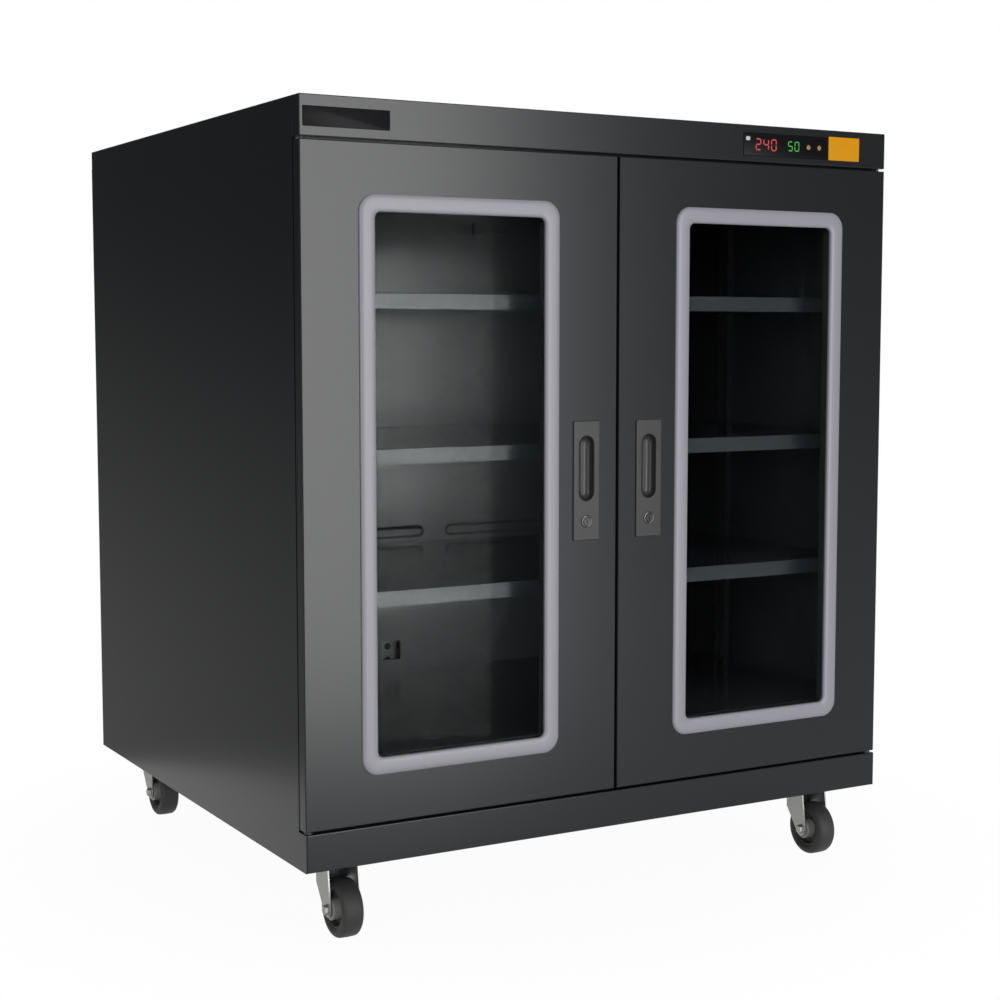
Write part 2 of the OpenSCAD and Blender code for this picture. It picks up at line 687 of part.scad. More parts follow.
// Black strip on the header, with a box behind it that carries the control board
module display_panel() color(black_colour) difference() {
  union() {
    block(span(display_mid, display_size[0]), [strip_face, door_face],
          span(display_z, display_size[1]));
    block(span(display_mid, display_size[0] - 2 * display_lap), [door_face, board_y],
          span(display_z, display_size[1] - 2 * display_lap));
  }
  block(span(display_mid, display_size[0] - 2 * display_lap - 2 * display_wall),
        [strip_face + strip_wall, board_y + overcut],
        span(display_z, display_size[1] - 2 * display_lap - 2 * display_wall));
  for (x = key_in) translate([display_x + display_size[0] - x, 0, display_z])
    bar_y(key_r + key_clear, [strip_face - overcut, board_y]);
}

// Board on the back of the strip's box, with a switch under each key
module control_board() color("darkgreen") {
  back = strip_face + strip_wall + soft_clear + key_collar[1] + key_travel;
  block(span(display_mid, display_size[0] - 2 * display_lap), [board_y, board_y + board_t],
        span(display_z, display_size[1] - 2 * display_lap));
  for (x = key_in) block(span(display_x + display_size[0] - x, switch_w),
                         [back + soft_clear, board_y], span(display_z, switch_w));
}

// Round key with a collar behind the strip that keeps it in
module key(x) color("goldenrod") translate([display_x + display_size[0] - x, 0, display_z]) {
  collar_y = strip_face + strip_wall + soft_clear;
  bar_y(key_r, [strip_face - key_proud, collar_y + key_collar[1]]);
  bar_y(key_r + key_collar[0], [collar_y, collar_y + key_collar[1]]);
}

module indicator_plate() color("orange") {
  x = display_x + display_size[0] + indicator_gap;
  block([x, x + indicator_size[0]], [strip_face, door_face],
        span(display_z + plate_proud / 2, indicator_size[1]));
}

module badge_plate() color(black_colour)
  block([-half_w + badge_in, -half_w + badge_in + badge_size[0]], [strip_face, door_face],
        [header_z + badge_rise, header_z + badge_rise + badge_size[1]]);

// Doors. Each piece is drawn for the left door, and mirrored for the right one.

module window_outline(by, r) translate(window_mid) round_rect(grown(window_size, by), r);

// Outer pan of a door, open at the back
module door_shell() color(steel_colour) difference() {
  block(door_x, [door_face, door_back], door_z);
  block([door_x[0] + sheet_t, door_x[1] - sheet_t], [door_face + sheet_t, door_back + overcut],
        [door_z[0] + sheet_t, door_z[1] - sheet_t]);
  upright_plate([door_face - overcut, door_face + sheet_t + overcut]) {
    window_outline(trim_lap, window_r + trim_lap);
    translate(recess_mid) obround(grown(recess_size, cup_t + fixed_clear));
    translate(lock_mid) circle(lock_r + fixed_clear);
  }
  translate([hinge_x, hinge_y, door_z[0] - overcut])
    cylinder(h = door_size[1] + 2 * overcut, r = pin_r + sheet_clear);
}

// Inner skin of a door, with a collar that presses the glass against the trim
module door_liner() color(inside_colour) difference() {
  union() {
    block([door_x[0] + sheet_t, door_x[1] - sheet_t], [door_back - sheet_t, door_back],
          [door_z[0] + sheet_t, door_z[1] - sheet_t]);
    upright_plate([door_face + sheet_t + glass_t, door_back - sheet_t])
      window_outline(collar_gap + sheet_t, window_r + collar_gap + sheet_t);
  }
  upright_plate([door_face, door_back + overcut])
    window_outline(collar_gap, window_r + collar_gap);
  upright_plate([door_back - sheet_t - overcut, door_back + overcut])
    translate(lock_mid) circle(lock_r + fixed_clear);
}

// Pale frame round the glass, with a leg that fills the cut-out
module window_trim() color(trim_colour) {
  upright_plate([door_face - trim_proud, door_face]) difference() {
    window_outline(trim_w, trim_r);
    window_outline(0, window_r);
  }
  upright_plate([door_face, door_face + sheet_t]) difference() {
    window_outline(trim_lap, window_r + trim_lap);
    window_outline(0, window_r);
  }
}

module door_glass() color("lightsteelblue", 0.35)
  upright_plate([door_face + sheet_t, door_face + sheet_t + glass_t])
    window_outline(glass_lap, window_r + glass_lap / 2);

// Soft seal on a door's back, a hair clear of the sealing frame
module door_gasket() color(rubber_colour)
  upright_plate([door_back, frame_y - soft_clear]) difference() {
    translate(door_mid) round_rect(grown(door_size, -gasket_in), gasket_w);
    translate(door_mid) round_rect(grown(door_size, -gasket_in - gasket_w), gasket_w / 2);
  }

// Blocks in the door's two hinge corners, bored for the pins
module door_bushes() color(bright_colour)
  for (z = [door_z[0] + sheet_t, door_z[1] - sheet_t - bush_h]) difference() {
    block([-inside_x, hinge_x + bush_reach], [door_face + sheet_t, door_back - sheet_t],
          [z, z + bush_h]);
    translate([hinge_x, hinge_y, z - overcut])
      cylinder(h = bush_h + 2 * overcut, r = pin_r + run_clear);
  }

// Flush handle plate with the cup that the fingers reach into
module handle() color(zinc_colour) {
  cup_back = handle_face + recess_depth;
  difference() {
    union() {
      upright_plate([handle_face, door_face]) translate(handle_mid) round_rect(handle_size, cup_t);
      upright_plate([door_face, cup_back + cup_t]) translate(recess_mid)
        obround(grown(recess_size, cup_t));
    }
    upright_plate([handle_face - overcut, cup_back]) translate(recess_mid) obround(recess_size);
    upright_plate([handle_face - overcut, door_face + overcut])
      translate(lock_mid) circle(lock_r + fixed_clear);
  }
}

// Fixed part of the lock: rim, threaded housing and the nut behind the liner
module lock_housing() color(bright_colour) translate([lock_mid[0], 0, lock_mid[1]]) difference() {
  union() {
    bar_y(lock_rim[0], [lock_face, handle_face]);
    bar_y(lock_r, [handle_face, door_back + lock_nut[1]]);
    translate([0, door_back + lock_nut[1], 0]) rotate([90, 0, 0])
      cylinder(h = lock_nut[1], r = lock_nut[0], $fn = 6);
  }
  bar_y(barrel_r + run_clear, [lock_face - overcut, door_back + lock_nut[1] + overcut]);
}

// Turning part of the lock: barrel with its keyway, cam and screw head
module lock_barrel() color(bright_colour) translate([lock_mid[0], 0, lock_mid[1]]) {
  difference() {
    bar_y(barrel_r, [lock_face + soft_clear, cam_y]);
    block(span(0, keyway[0]), [lock_face - overcut, lock_face + keyway[2]], span(0, keyway[1]));
  }
  block(span(0, cam_size[1]), [cam_y, cam_y + cam_size[2]],
        [cam_size[1] / 2 - cam_size[0], cam_size[1] / 2]);
  bar_y(cam_screw[0], [cam_y + cam_size[2], cam_y + cam_size[2] + cam_screw[1]]);
}

module right_side() mirror([1, 0, 0]) children();

// Castors. Each is drawn about its swivel axis, with the axle ahead of it.

module at_castor(sx, sy) translate([sx * castor_x, sy * castor_y, 0]) children();

// Point where a line from p touches the circle of radius r about c, on the side given
function touch(p, c, r, side) =
  let (v = p - c, turn = atan2(v[1], v[0]) + side * acos(r / norm(v)))
  c + r * [cos(turn), sin(turn)];

// Fixed plates with their bolts, upper races and kingpins
module castor_plates() color(zinc_colour) for (sx = [-1, 1], sy = [-1, 1]) at_castor(sx, sy) {
  plate_z = castor_h - castor_plate[2];
  half = [castor_plate[0] / 2, castor_plate[1] / 2];
  block([-half[0], half[0]], [-half[1], half[1]], [plate_z, castor_h]);
  translate([0, 0, plate_z - race_size[1]]) cylinder(h = race_size[1], r = race_size[0]);
  translate([0, 0, web_z - soft_clear]) cylinder(h = plate_z - web_z + soft_clear, r = kingpin_r);
  translate([0, 0, web_z - soft_clear - kingpin_head[1]])
    cylinder(h = kingpin_head[1], r = kingpin_head[0]);
  for (bx = [-1, 1], by = [-1, 1])
    translate([bx * (half[0] - bolt_in), by * (half[1] - bolt_in), plate_z - bolt_head[1]])
      cylinder(h = bolt_head[1], r = bolt_head[0], $fn = 6);
}

// Swivelling fork with its lower race, and the axle bolt through its cheeks
module castor_fork() color(zinc_colour) {
  axle = [-trail, wheel_r];
  top_front = [-cheek_w / 2, fork_top];
  top_rear = [cheek_w / 2, fork_top];
  difference() {
    union() {
      block(span(0, fork_w), span(0, cheek_w), [web_z, fork_top]);
      translate([0, 0, fork_top]) cylinder(h = race_size[1], r = race_size[0]);
      for (x = [-fork_w / 2, fork_w / 2 - fork_t])
        translate([x, 0, 0]) rotate([90, 0, 90]) linear_extrude(fork_t) {
          polygon([top_front, top_rear, touch(top_rear, axle, cheek_r, -1),
                   touch(top_front, axle, cheek_r, 1)]);
          translate(axle) circle(cheek_r);
        }
    }
    translate([0, 0, web_z - overcut])
      cylinder(h = fork_top + race_size[1] - web_z + 2 * overcut, r = kingpin_r + run_clear);
    translate([0, -trail, wheel_r]) bar_x(axle_r + run_clear, span(0, fork_w + 2 * overcut));
  }
  translate([0, -trail, wheel_r]) {
    bar_x(axle_r, span(0, fork_w + 2 * run_clear));
    for (side = [0, 1]) mirror([side, 0, 0])
      bar_x(axle_head[0], [fork_w / 2 + run_clear, fork_w / 2 + run_clear + axle_head[1]], 6);
  }
}

// A ring turned about the axle from a profile of radius and place along the axle
module on_axle() translate([0, -trail, wheel_r]) rotate([0, 90, 0]) rotate_extrude() children();

// Plastic core of a wheel: boss, web and rim, bored for the axle
module wheel_hub() color("dimgray") on_axle() {
  boss_half = fork_w / 2 - fork_t - boss_gap;
  bore = axle_r + run_clear;
  translate([bore, -boss_half]) square([boss_r - bore, 2 * boss_half]);
  translate([bore, -web_t / 2]) square([core_r - bore, web_t]);
  translate([core_r - rim_t, -wheel_w / 2 + shoulder_r / 2]) square([rim_t, wheel_w - shoulder_r]);
}

// Tyre with rounded shoulders
module wheel_tyre() color(rubber_colour) on_axle() difference() {
  union() {
    translate([core_r, -wheel_w / 2]) square([wheel_r - shoulder_r - core_r, wheel_w]);
    translate([core_r, -wheel_w / 2 + shoulder_r])
      square([wheel_r - core_r, wheel_w - 2 * shoulder_r]);
    for (end = [-1, 1]) translate([wheel_r - shoulder_r, end * (wheel_w / 2 - shoulder_r)])
      circle(shoulder_r);
  }
  translate([core_r - shoulder_r, -wheel_w / 2 - overcut]) square([shoulder_r, wheel_w + 2 * overcut]);
}

plinth();
side_panel(-1);  // left_side_panel
side_panel(1);  // right_side_panel
rear_panel();
top_cover();
back_wall();
floor_panel();
ceiling_panel();
door_frame();
hinge_pins();
shelf_supports();
shelf(shelf_z[0]);  // lower_shelf
shelf(shelf_z[1]);  // middle_shelf
shelf(shelf_z[2]);  // upper_shelf
sensor();
dryer_case();
desiccant_cartridge();
shutter(dryer_y + dryer_wall[1] / 2, -shutter_travel);  // inner_shutter
shutter(dryer_y + dryer_size[1] - dryer_wall[1] / 2, 0);  // outer_shutter
power_inlet();
inlet_blades();
rocker_switch();
display_panel();
control_board();
key(key_in[1]);  // left_key
key(key_in[0]);  // right_key
indicator_plate();
badge_plate();
rear_screws();
door_shell();  // left_door_shell
door_liner();  // left_door_liner
window_trim();  // left_window_trim
door_glass();  // left_door_glass
door_gasket();  // left_door_gasket
door_bushes();  // left_door_bushes
handle();  // left_handle
lock_housing();  // left_lock_housing
lock_barrel();  // left_lock_barrel
right_side() door_shell();  // right_door_shell
right_side() door_liner();  // right_door_liner
right_side() window_trim();  // right_window_trim
right_side() door_glass();  // right_door_glass
right_side() door_gasket();  // right_door_gasket
right_side() door_bushes();  // right_door_bushes
right_side() handle();  // right_handle
right_side() lock_housing();  // right_lock_housing
right_side() lock_barrel();  // right_lock_barrel
castor_plates();
at_castor(-1, -1) castor_fork();  // front_left_fork
at_castor(-1, -1) wheel_hub();  // front_left_hub
at_castor(-1, -1) wheel_tyre();  // front_left_tyre
at_castor(1, -1) castor_fork();  // front_right_fork
at_castor(1, -1) wheel_hub();  // front_right_hub
at_castor(1, -1) wheel_tyre();  // front_right_tyre
at_castor(-1, 1) castor_fork();  // rear_left_fork
at_castor(-1, 1) wheel_hub();  // rear_left_hub
at_castor(-1, 1) wheel_tyre();  // rear_left_tyre
at_castor(1, 1) castor_fork();  // rear_right_fork
at_castor(1, 1) wheel_hub();  // rear_right_hub
at_castor(1, 1) wheel_tyre();  // rear_right_tyre
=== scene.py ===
# %% [markdown]
# # An electronic dry cabinet, dressed around its frame
# The cabinet keeps cameras dry behind two glazed, lockable doors. Its exact shape is already
# packed as a frame of plain solids, in metres, with the doors facing -Y and the floor at Z = 0.
# This lesson gives it what a frame lacks: folded edges, pressed beads, moulded trims, turned
# metal and paint that is more than one colour.

# %% Load the frame
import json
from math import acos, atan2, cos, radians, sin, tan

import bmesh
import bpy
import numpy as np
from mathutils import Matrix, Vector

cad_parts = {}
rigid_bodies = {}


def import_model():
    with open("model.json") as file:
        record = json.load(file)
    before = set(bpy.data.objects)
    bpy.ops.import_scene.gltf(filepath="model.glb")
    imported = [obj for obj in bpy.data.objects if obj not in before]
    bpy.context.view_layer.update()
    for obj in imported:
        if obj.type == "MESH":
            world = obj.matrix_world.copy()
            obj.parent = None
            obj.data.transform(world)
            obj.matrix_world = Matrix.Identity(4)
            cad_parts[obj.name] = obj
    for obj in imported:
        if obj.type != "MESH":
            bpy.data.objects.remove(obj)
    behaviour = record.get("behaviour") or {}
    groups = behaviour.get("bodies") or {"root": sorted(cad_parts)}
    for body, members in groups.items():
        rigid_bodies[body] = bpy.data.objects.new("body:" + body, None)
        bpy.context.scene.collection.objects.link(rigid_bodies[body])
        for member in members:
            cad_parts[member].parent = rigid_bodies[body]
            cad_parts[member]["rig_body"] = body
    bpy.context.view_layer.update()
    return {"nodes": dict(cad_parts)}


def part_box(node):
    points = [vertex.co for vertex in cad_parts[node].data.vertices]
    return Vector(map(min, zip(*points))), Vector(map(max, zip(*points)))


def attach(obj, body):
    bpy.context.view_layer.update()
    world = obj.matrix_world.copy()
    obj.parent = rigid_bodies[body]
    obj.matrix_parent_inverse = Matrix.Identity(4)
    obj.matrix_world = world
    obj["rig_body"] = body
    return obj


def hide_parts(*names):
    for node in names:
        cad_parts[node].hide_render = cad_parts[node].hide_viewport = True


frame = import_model()

# %% [markdown]
# ## Units and places
# Lengths are written in millimetres times MM, because a maker states them so and Blender's own
# unit is the metre. A piece's place is read from the box of its node, so that it stays where the
# node is. Only what a box can't tell, such as where a bead or a port lies in a wall, is written
# out here.

MM = 0.001
X, Y, Z = range(3)
SIDES = ("left", "right")
ENDS = ("front", "rear")


def low(name):
    """Lowest corner of a node's box."""
    return np.array(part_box(name)[0])


def high(name):
    """Highest corner of a node's box."""
    return np.array(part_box(name)[1])


def front_view(name):
    """Middle and size of a node's box, each as X and Z."""
    lower, upper = low(name), high(name)
    return (lower + upper)[[X, Z]] / 2, (upper - lower)[[X, Z]]


def put(name, data, finish=None):
    """Links an object into the scene, at the origin, and gives its data a finish."""
    if finish:
        data.materials.append(finish)
    made = bpy.data.objects.new(name, data)
    bpy.context.scene.collection.objects.link(made)
    return made


# %% [markdown]
# ## The camera
# The photograph was solved for the place it was taken from: a little left of the cabinet, about a
# metre up, with a short telephoto lens. A camera looks along its own -Z, so the direction of its
# own +Z, which points backwards, fixes how it is turned.

# %% Camera
CAMERA_PLACE = Vector((-1.7535, -3.2011, 1.0138))
CAMERA_BACK = Vector((-0.49295, -0.86528, 0.09112))
CAMERA_LENS = 65.3
SENSOR_WIDTH = 36
FAR_CLIP = 200

camera_data = bpy.data.cameras.new("camera")
camera_data.lens = CAMERA_LENS
camera_data.sensor_width = SENSOR_WIDTH
camera_data.clip_end = FAR_CLIP
camera = put("camera", camera_data)
camera.location = CAMERA_PLACE
camera.rotation_euler = CAMERA_BACK.to_track_quat("Z", "Y").to_euler()
bpy.context.scene.camera = camera
print("camera at", [round(value, 2) for value in CAMERA_PLACE])

# %% [markdown]
# ## Surfaces from grids
# Every new piece is a grid of points. Its columns run round a closed loop, and its rows are copies
# of that loop, moved or resized. Joining neighbours gives quads. The last row either joins the
# first, as on a ring, or both end rows are closed by a cap, as on a knob. The signed volume tells
# whether the faces look outwards, and turns them if they don't.

# %% Shells
WELD_REACH = 0.001 * MM


def shell(rows, wrap=False):
    """Joins equal loops, given as an array of rows x points x 3, into a closed surface.

    Point j of row i is joined to point j + 1 and to point j of row i + 1.
    """
    rows = np.asarray(rows, dtype=float)
    count, around = rows.shape[:2]
    index = np.arange(count * around).reshape(count, around)
    grid = np.vstack([index, index[:1]]) if wrap else index
    grid = np.hstack([grid, grid[:, :1]])
    quads = np.stack([grid[:-1, :-1], grid[:-1, 1:], grid[1:, 1:], grid[1:, :-1]], -1)
    faces = quads.reshape(-1, 4).tolist()
    if not wrap:
        faces += [index[0, ::-1].tolist(), index[-1].tolist()]
    points = rows.reshape(-1, 3)
    if volume(points, faces) < 0:
        faces = [face[::-1] for face in faces]
    return points, faces


def volume(points, faces):
    """Signed volume: the sum over a fan of triangles of a . (b x c) / 6."""
    fans = np.array([(face[0], face[k], face[k + 1]) for face in faces for k in range(1, len(face) - 1)])
    a, b, c = (points[fans[:, k]] for k in range(3))
    return float(np.einsum("ij,ij->i", a, np.cross(b, c)).sum() / 6)


def joined(*shells):
    """Several shells as one list of points and faces."""
    points, faces, start = [], [], 0
    for some_points, some_faces in shells:
        points.append(some_points)
        faces += [[start + corner for corner in face] for face in some_faces]
        start += len(some_points)
    return np.vstack(points), faces


def weld(mesh):
    """Merges points that lie on one another, so that poles and sharp corners close."""
    work = bmesh.new()
    work.from_mesh(mesh)
    bmesh.ops.remove_doubles(work, verts=work.verts, dist=WELD_REACH)
    work.to_mesh(mesh)
    work.free()


def add_piece(name, body, surface, finish, smooth=None, replaced=None):
    """Makes a mesh object of a surface, gives it a finish and ties it to its CAD body.

    Edges sharper than the angle smooth stay hard, and with no angle the faces stay flat.
    """
    mesh = bpy.data.meshes.new(name)
    mesh.from_pydata(surface[0].tolist(), [], surface[1])
    weld(mesh)
    if smooth:
        mesh.shade_smooth()
        mesh.set_sharp_from_angle(angle=radians(smooth))
    piece = put(name, mesh, finish)
    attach(piece, body)
    if replaced:
        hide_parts(replaced)
    print(name, len(mesh.polygons), "faces")


def on_both_doors(made, replaced, surface_of, finish, smooth):
    """Makes a piece on each door in place of a node, from a function of that node's name."""
    for side in SIDES:
        node_name = f"{side}_{replaced}"
        add_piece(f"{side}_{made}", side + "_door", surface_of(node_name), finish, smooth,
                  node_name)


# %% [markdown]
# ## Loops and rims
# Two loops are enough for nearly the whole cabinet: the rounded rectangle, which is a slot outline
# when its radius is half its width, and the circle. A loop lies in a plane and is placed at some
# point of the axis square to it. A rim is the quarter circle that takes a side over into a face.

# %% Loops
CORNERS = np.array([[1, 1], [-1, 1], [-1, -1], [1, -1]])
LEAST_CORNER = 1 / 50


def rectangle(size, r, mid, steps=6):
    """Rounded rectangle: four quarter circles about the corners of the rectangle r inside it."""
    turn = radians(90) * (np.arange(4)[:, None] + np.linspace(0, 1, steps + 1))
    arcs = r * np.stack([np.cos(turn), np.sin(turn)], -1)
    centres = CORNERS[:, None, :] * (np.array(size) / 2 - r)
    return (centres + arcs).reshape(-1, 2) + np.array(mid)


def circle(sides, start=0):
    """Points at equal angles round a circle of radius one, from a starting angle in degrees."""
    turn = radians(start) + 2 * np.pi * np.arange(sides) / sides
    return np.stack([np.cos(turn), np.sin(turn)], -1)


def placed(loop, at, axis):
    """A flat loop set at a point of an axis: X, Y or Z."""
    return np.insert(loop, axis, at, axis=1)


def rim(r, steps=3):
    """Quarter circle as pairs of inset and depth, from the side to the face."""
    turn = np.radians(np.linspace(0, 90, steps + 1))
    return np.stack([r * (1 - np.cos(turn)), r * (1 - np.sin(turn))], -1)


def slab(size, r, mid, face, back, edge):
    """Rounded rectangle along Y from face to back, with a rounded rim round the face.

    Row k is the loop drawn in by the rim's inset and set back by its depth. Its corners never get
    so tight that their points meet.
    """
    way = 1 if back > face else -1
    rows = [placed(rectangle(size, r, mid), back, Y)]
    for inset, depth in rim(edge):
        loop = rectangle(np.array(size) - 2 * inset, max(r - inset, edge * LEAST_CORNER), mid)
        rows.append(placed(loop, face + way * depth, Y))
    return shell(rows)


def turned(profile, centre, axis, sides=48, wrap=False, start=0):
    """A profile of radius and place along an axis, turned about a centre.

    Row k is a circle of the k-th radius, at the k-th place along the axis.
    """
    loop = circle(sides, start)
    flat = np.delete(np.array(centre, dtype=float), axis)
    rows = [placed(radius * loop + flat, centre[axis] + along, axis) for radius, along in profile]
    return shell(rows, wrap)


# %% [markdown]
# ## Finishes
# Paint, moulded plastic, zinc and rubber differ in the same few ways: how much the colour drifts
# over the piece, how fine the grain is and how far its bumps stand up. So one function mixes them
# all from noise in object coordinates, which are metres, and each finish only names its values.

# %% Finish helpers
DRIFT_IN_GLOSS = 0.5
UNLIT_SHARE = 0.2


def settle(made, **values):
    """Sets a node's sockets, or else its properties, by name, with _ for a space."""
    for key, value in values.items():
        socket = made.inputs.get(key.replace("_", " "))
        if socket is not None:
            socket.default_value = value
        else:
            setattr(made, key, value)
    return made


def node(tree, kind, **values):
    """Adds a shader node and sets its values."""
    return settle(tree.nodes.new(kind), **values)


def wire(tree, *pairs):
    """Links the first socket of each pair to the second."""
    for start, end in pairs:
        tree.links.new(start, end)


def new_finish(name):
    """A new material, with its node tree and its Principled shader."""
    material = bpy.data.materials.new(name)
    material.use_nodes = True
    return material, material.node_tree, material.node_tree.nodes["Principled BSDF"]


def grained(name, colour, rough, drift=0.08, patch=6.0, grain=400.0, height=0.05, stretch=(1, 1, 1),
            metal=0.0, specular=0.5, spread=0.05):
    """A finish whose colour and gloss drift in patches, with a fine grain on top.

    The colour goes from 1 - drift to 1 + drift times its value with the wide noise. The roughness
    goes from rough - spread to rough + spread with the fine noise plus half the wide one. patch
    and grain are noise cells per metre, height is the grain's bump in millimetres, and a small
    number in stretch draws the grain out along that axis.
    """
    material, tree, shader = new_finish(name)
    settle(shader, Metallic=metal, Specular_IOR_Level=specular)
    place = node(tree, "ShaderNodeTexCoord")
    drawn = node(tree, "ShaderNodeMapping", Scale=stretch)
    wide = node(tree, "ShaderNodeTexNoise", Scale=patch, Detail=3.0)
    fine = node(tree, "ShaderNodeTexNoise", Scale=grain, Detail=2.0)
    tone = node(tree, "ShaderNodeMix", data_type="RGBA")
    gloss = node(tree, "ShaderNodeMapRange", To_Min=rough - spread, To_Max=rough + spread)
    bump = node(tree, "ShaderNodeBump", Strength=1.0, Distance=height * MM)
    both = node(tree, "ShaderNodeMath", operation="MULTIPLY_ADD")
    both.inputs[1].default_value = DRIFT_IN_GLOSS
    tone.inputs["A"].default_value = (*[channel * (1 - drift) for channel in colour], 1)
    tone.inputs["B"].default_value = (*[min(1, channel * (1 + drift)) for channel in colour], 1)
    wire(tree, (place.outputs["Object"], wide.inputs["Vector"]),
         (place.outputs["Object"], drawn.inputs["Vector"]),
         (drawn.outputs["Vector"], fine.inputs["Vector"]),
         (wide.outputs["Fac"], both.inputs[0]),
         (fine.outputs["Fac"], both.inputs[2]),
         (both.outputs["Value"], gloss.inputs["Value"]),
         (wide.outputs["Fac"], tone.inputs["Factor"]),
         (tone.outputs["Result"], shader.inputs["Base Color"]),
         (gloss.outputs["Result"], shader.inputs["Roughness"]),
         (fine.outputs["Fac"], bump.inputs["Height"]),
         (bump.outputs["Normal"], shader.inputs["Normal"]))
    return material


def lit(name, colour, strength):
    """A finish that glows, for lamps and digits, over a dark base of the same hue."""
    material = grained(name, [channel * UNLIT_SHARE for channel in colour], 0.4, height=0.01)
    settle(material.node_tree.nodes["Principled BSDF"], Emission_Color=(*colour, 1),
           Emission_Strength=strength)
    return material


# %% [markdown]
# ## Paints, mouldings and metals
# The body wears a charcoal powder coat with a fine orange peel. The inside and the shelves have a
# smoother paint, which mirrors more. The trims are lavender grey plastic, the handles dark brushed
# metal, and the forks zinc. A colour here is the share of light that it sends back, so charcoal is
# about one hundredth.

# %% Paints, mouldings and metals
coat = grained("charcoal powder coat", (0.0088, 0.0098, 0.0112), 0.20, grain=420, height=0.03,
               specular=0.19, spread=0.02, drift=0.12, patch=3)
satin = grained("charcoal satin paint", (0.0115, 0.0125, 0.0135), 0.155, grain=260, height=0.0005,
                specular=0.165, spread=0.01, drift=0.04, patch=2)
shelf_paint = grained("shelf satin paint", (0.012, 0.014, 0.0155), 0.15, grain=260, height=0.0005,
                      specular=0.165, spread=0.01, drift=0.04, patch=2)
moulding = grained("lavender grey moulding", (0.195, 0.191, 0.220), 0.36, patch=14, grain=900,
                   height=0.012, drift=0.03, specular=0.4)
rubber = grained("black seal rubber", (0.012, 0.012, 0.012), 0.62, grain=1500, height=0.02)
brushed = grained("dark brushed handle metal", (0.036, 0.036, 0.037), 0.30, grain=900, height=0.006,
                  stretch=(1, 1, 0.05), metal=0.35, patch=30, specular=0.1, spread=0.03)
bright = grained("bright plated metal", (0.13, 0.13, 0.13), 0.22, grain=300, height=0.004,
                 metal=1.0, drift=0.04)
lock_metal = grained("smooth lock metal", (0.055, 0.055, 0.055), 0.17, grain=300, height=0.003,
                     metal=1.0, drift=0.04, spread=0.02)
zinc = grained("zinc plate", (0.30, 0.30, 0.293), 0.42, patch=45, grain=1400, height=0.02,
               metal=1.0, drift=0.12, spread=0.09)
black_gloss = grained("gloss black panel", (0.004, 0.004, 0.005), 0.3, grain=700, height=0.002,
                      specular=0.05)
orange = grained("orange printed plate", (0.52, 0.225, 0.005), 0.5, patch=40, grain=900,
                 height=0.01, drift=0.05, specular=0.05)
gold = grained("gold key cap", (0.20, 0.115, 0.03), 0.30, grain=900, height=0.01, drift=0.08)
black = grained("black moulding", (0.018, 0.018, 0.020), 0.48, grain=1100, height=0.03)
grey = grained("grey hub moulding", (0.20, 0.20, 0.195), 0.45, grain=900, height=0.03, patch=40)
board = grained("green circuit board", (0.012, 0.10, 0.035), 0.30, grain=500, height=0.02,
                patch=120, drift=0.3)
tread = grained("grey tread rubber", (0.022, 0.0205, 0.0215), 0.58, patch=30, grain=700,
                height=0.05, drift=0.14, specular=0.35)
red_digit = lit("red digit", (1.0, 0.01, 0.03), 0.24)
green_digit = lit("green digit", (0.02, 1.0, 0.03), 0.13)
white_lamp = lit("white lamp", (1.0, 0.95, 0.9), 0.25)
print(len(bpy.data.materials), "materials")

# %% [markdown]
# ## Glass
# Safety glass in a door is clear and thin beside the room behind it. A path tracer's solid glass
# would keep the lamps' direct light out of the cabinet, so shadow rays see it as transparent. Its
# index is near one, because the panes in the photograph mirror hardly anything. A mix that goes by
# the kind of ray is needed again for the studio, so it is two helpers.

# %% Glass finish
GLASS_INDEX = 1.04
GLASS_TINT = (0.93, 0.95, 0.95, 1)
SHADOW_TINT = (0.95, 0.97, 0.97, 1)


def rays(tree, *kinds):
    """One for a ray of any of these kinds and nought for others: the largest of their flags."""
    path = node(tree, "ShaderNodeLightPath")
    flag = path.outputs[kinds[0]]
    for kind in kinds[1:]:
        larger = node(tree, "ShaderNodeMath", operation="MAXIMUM")
        wire(tree, (flag, larger.inputs[0]), (path.outputs[kind], larger.inputs[1]))
        flag = larger.outputs["Value"]
    return flag


def end_in_mix(tree, factor, first, second, end="Material Output"):
    """Ends a tree in the first shader where the factor is nought, and the second where it is one."""
    both = node(tree, "ShaderNodeMixShader")
    wire(tree, (factor, both.inputs["Fac"]), (first, both.inputs[1]), (second, both.inputs[2]),
         (both.outputs["Shader"], tree.nodes[end].inputs["Surface"]))


def clear_glass():
    """Smooth glass that bends light a little and casts no shadow."""
    material, tree, shader = new_finish("clear glass")
    settle(shader, Base_Color=GLASS_TINT, Roughness=0.0, Transmission_Weight=1.0, IOR=GLASS_INDEX)
    clear = node(tree, "ShaderNodeBsdfTransparent", Color=SHADOW_TINT)
    end_in_mix(tree, rays(tree, "Is Shadow Ray"), shader.outputs["BSDF"], clear.outputs["BSDF"])
    return material


glass = clear_glass()
print(glass.name, "of index", GLASS_INDEX)

# %% [markdown]
# ## Carried-over nodes
# The panes, hinge pins, bushes, lock barrels, castor plates, shelf uprights, sensor, control board,
# mains inlet and drying unit have the right shape already. They keep their mesh and get a finish in
# place of the plain colour that they came with.

# %% Dress the plain nodes


def dress(finish, *names):
    """Gives some nodes a finish in place of their own."""
    for name in names:
        mesh = frame["nodes"][name].data
        mesh.materials.clear()
        mesh.materials.append(finish)
    print(finish.name, "on", ", ".join(names))


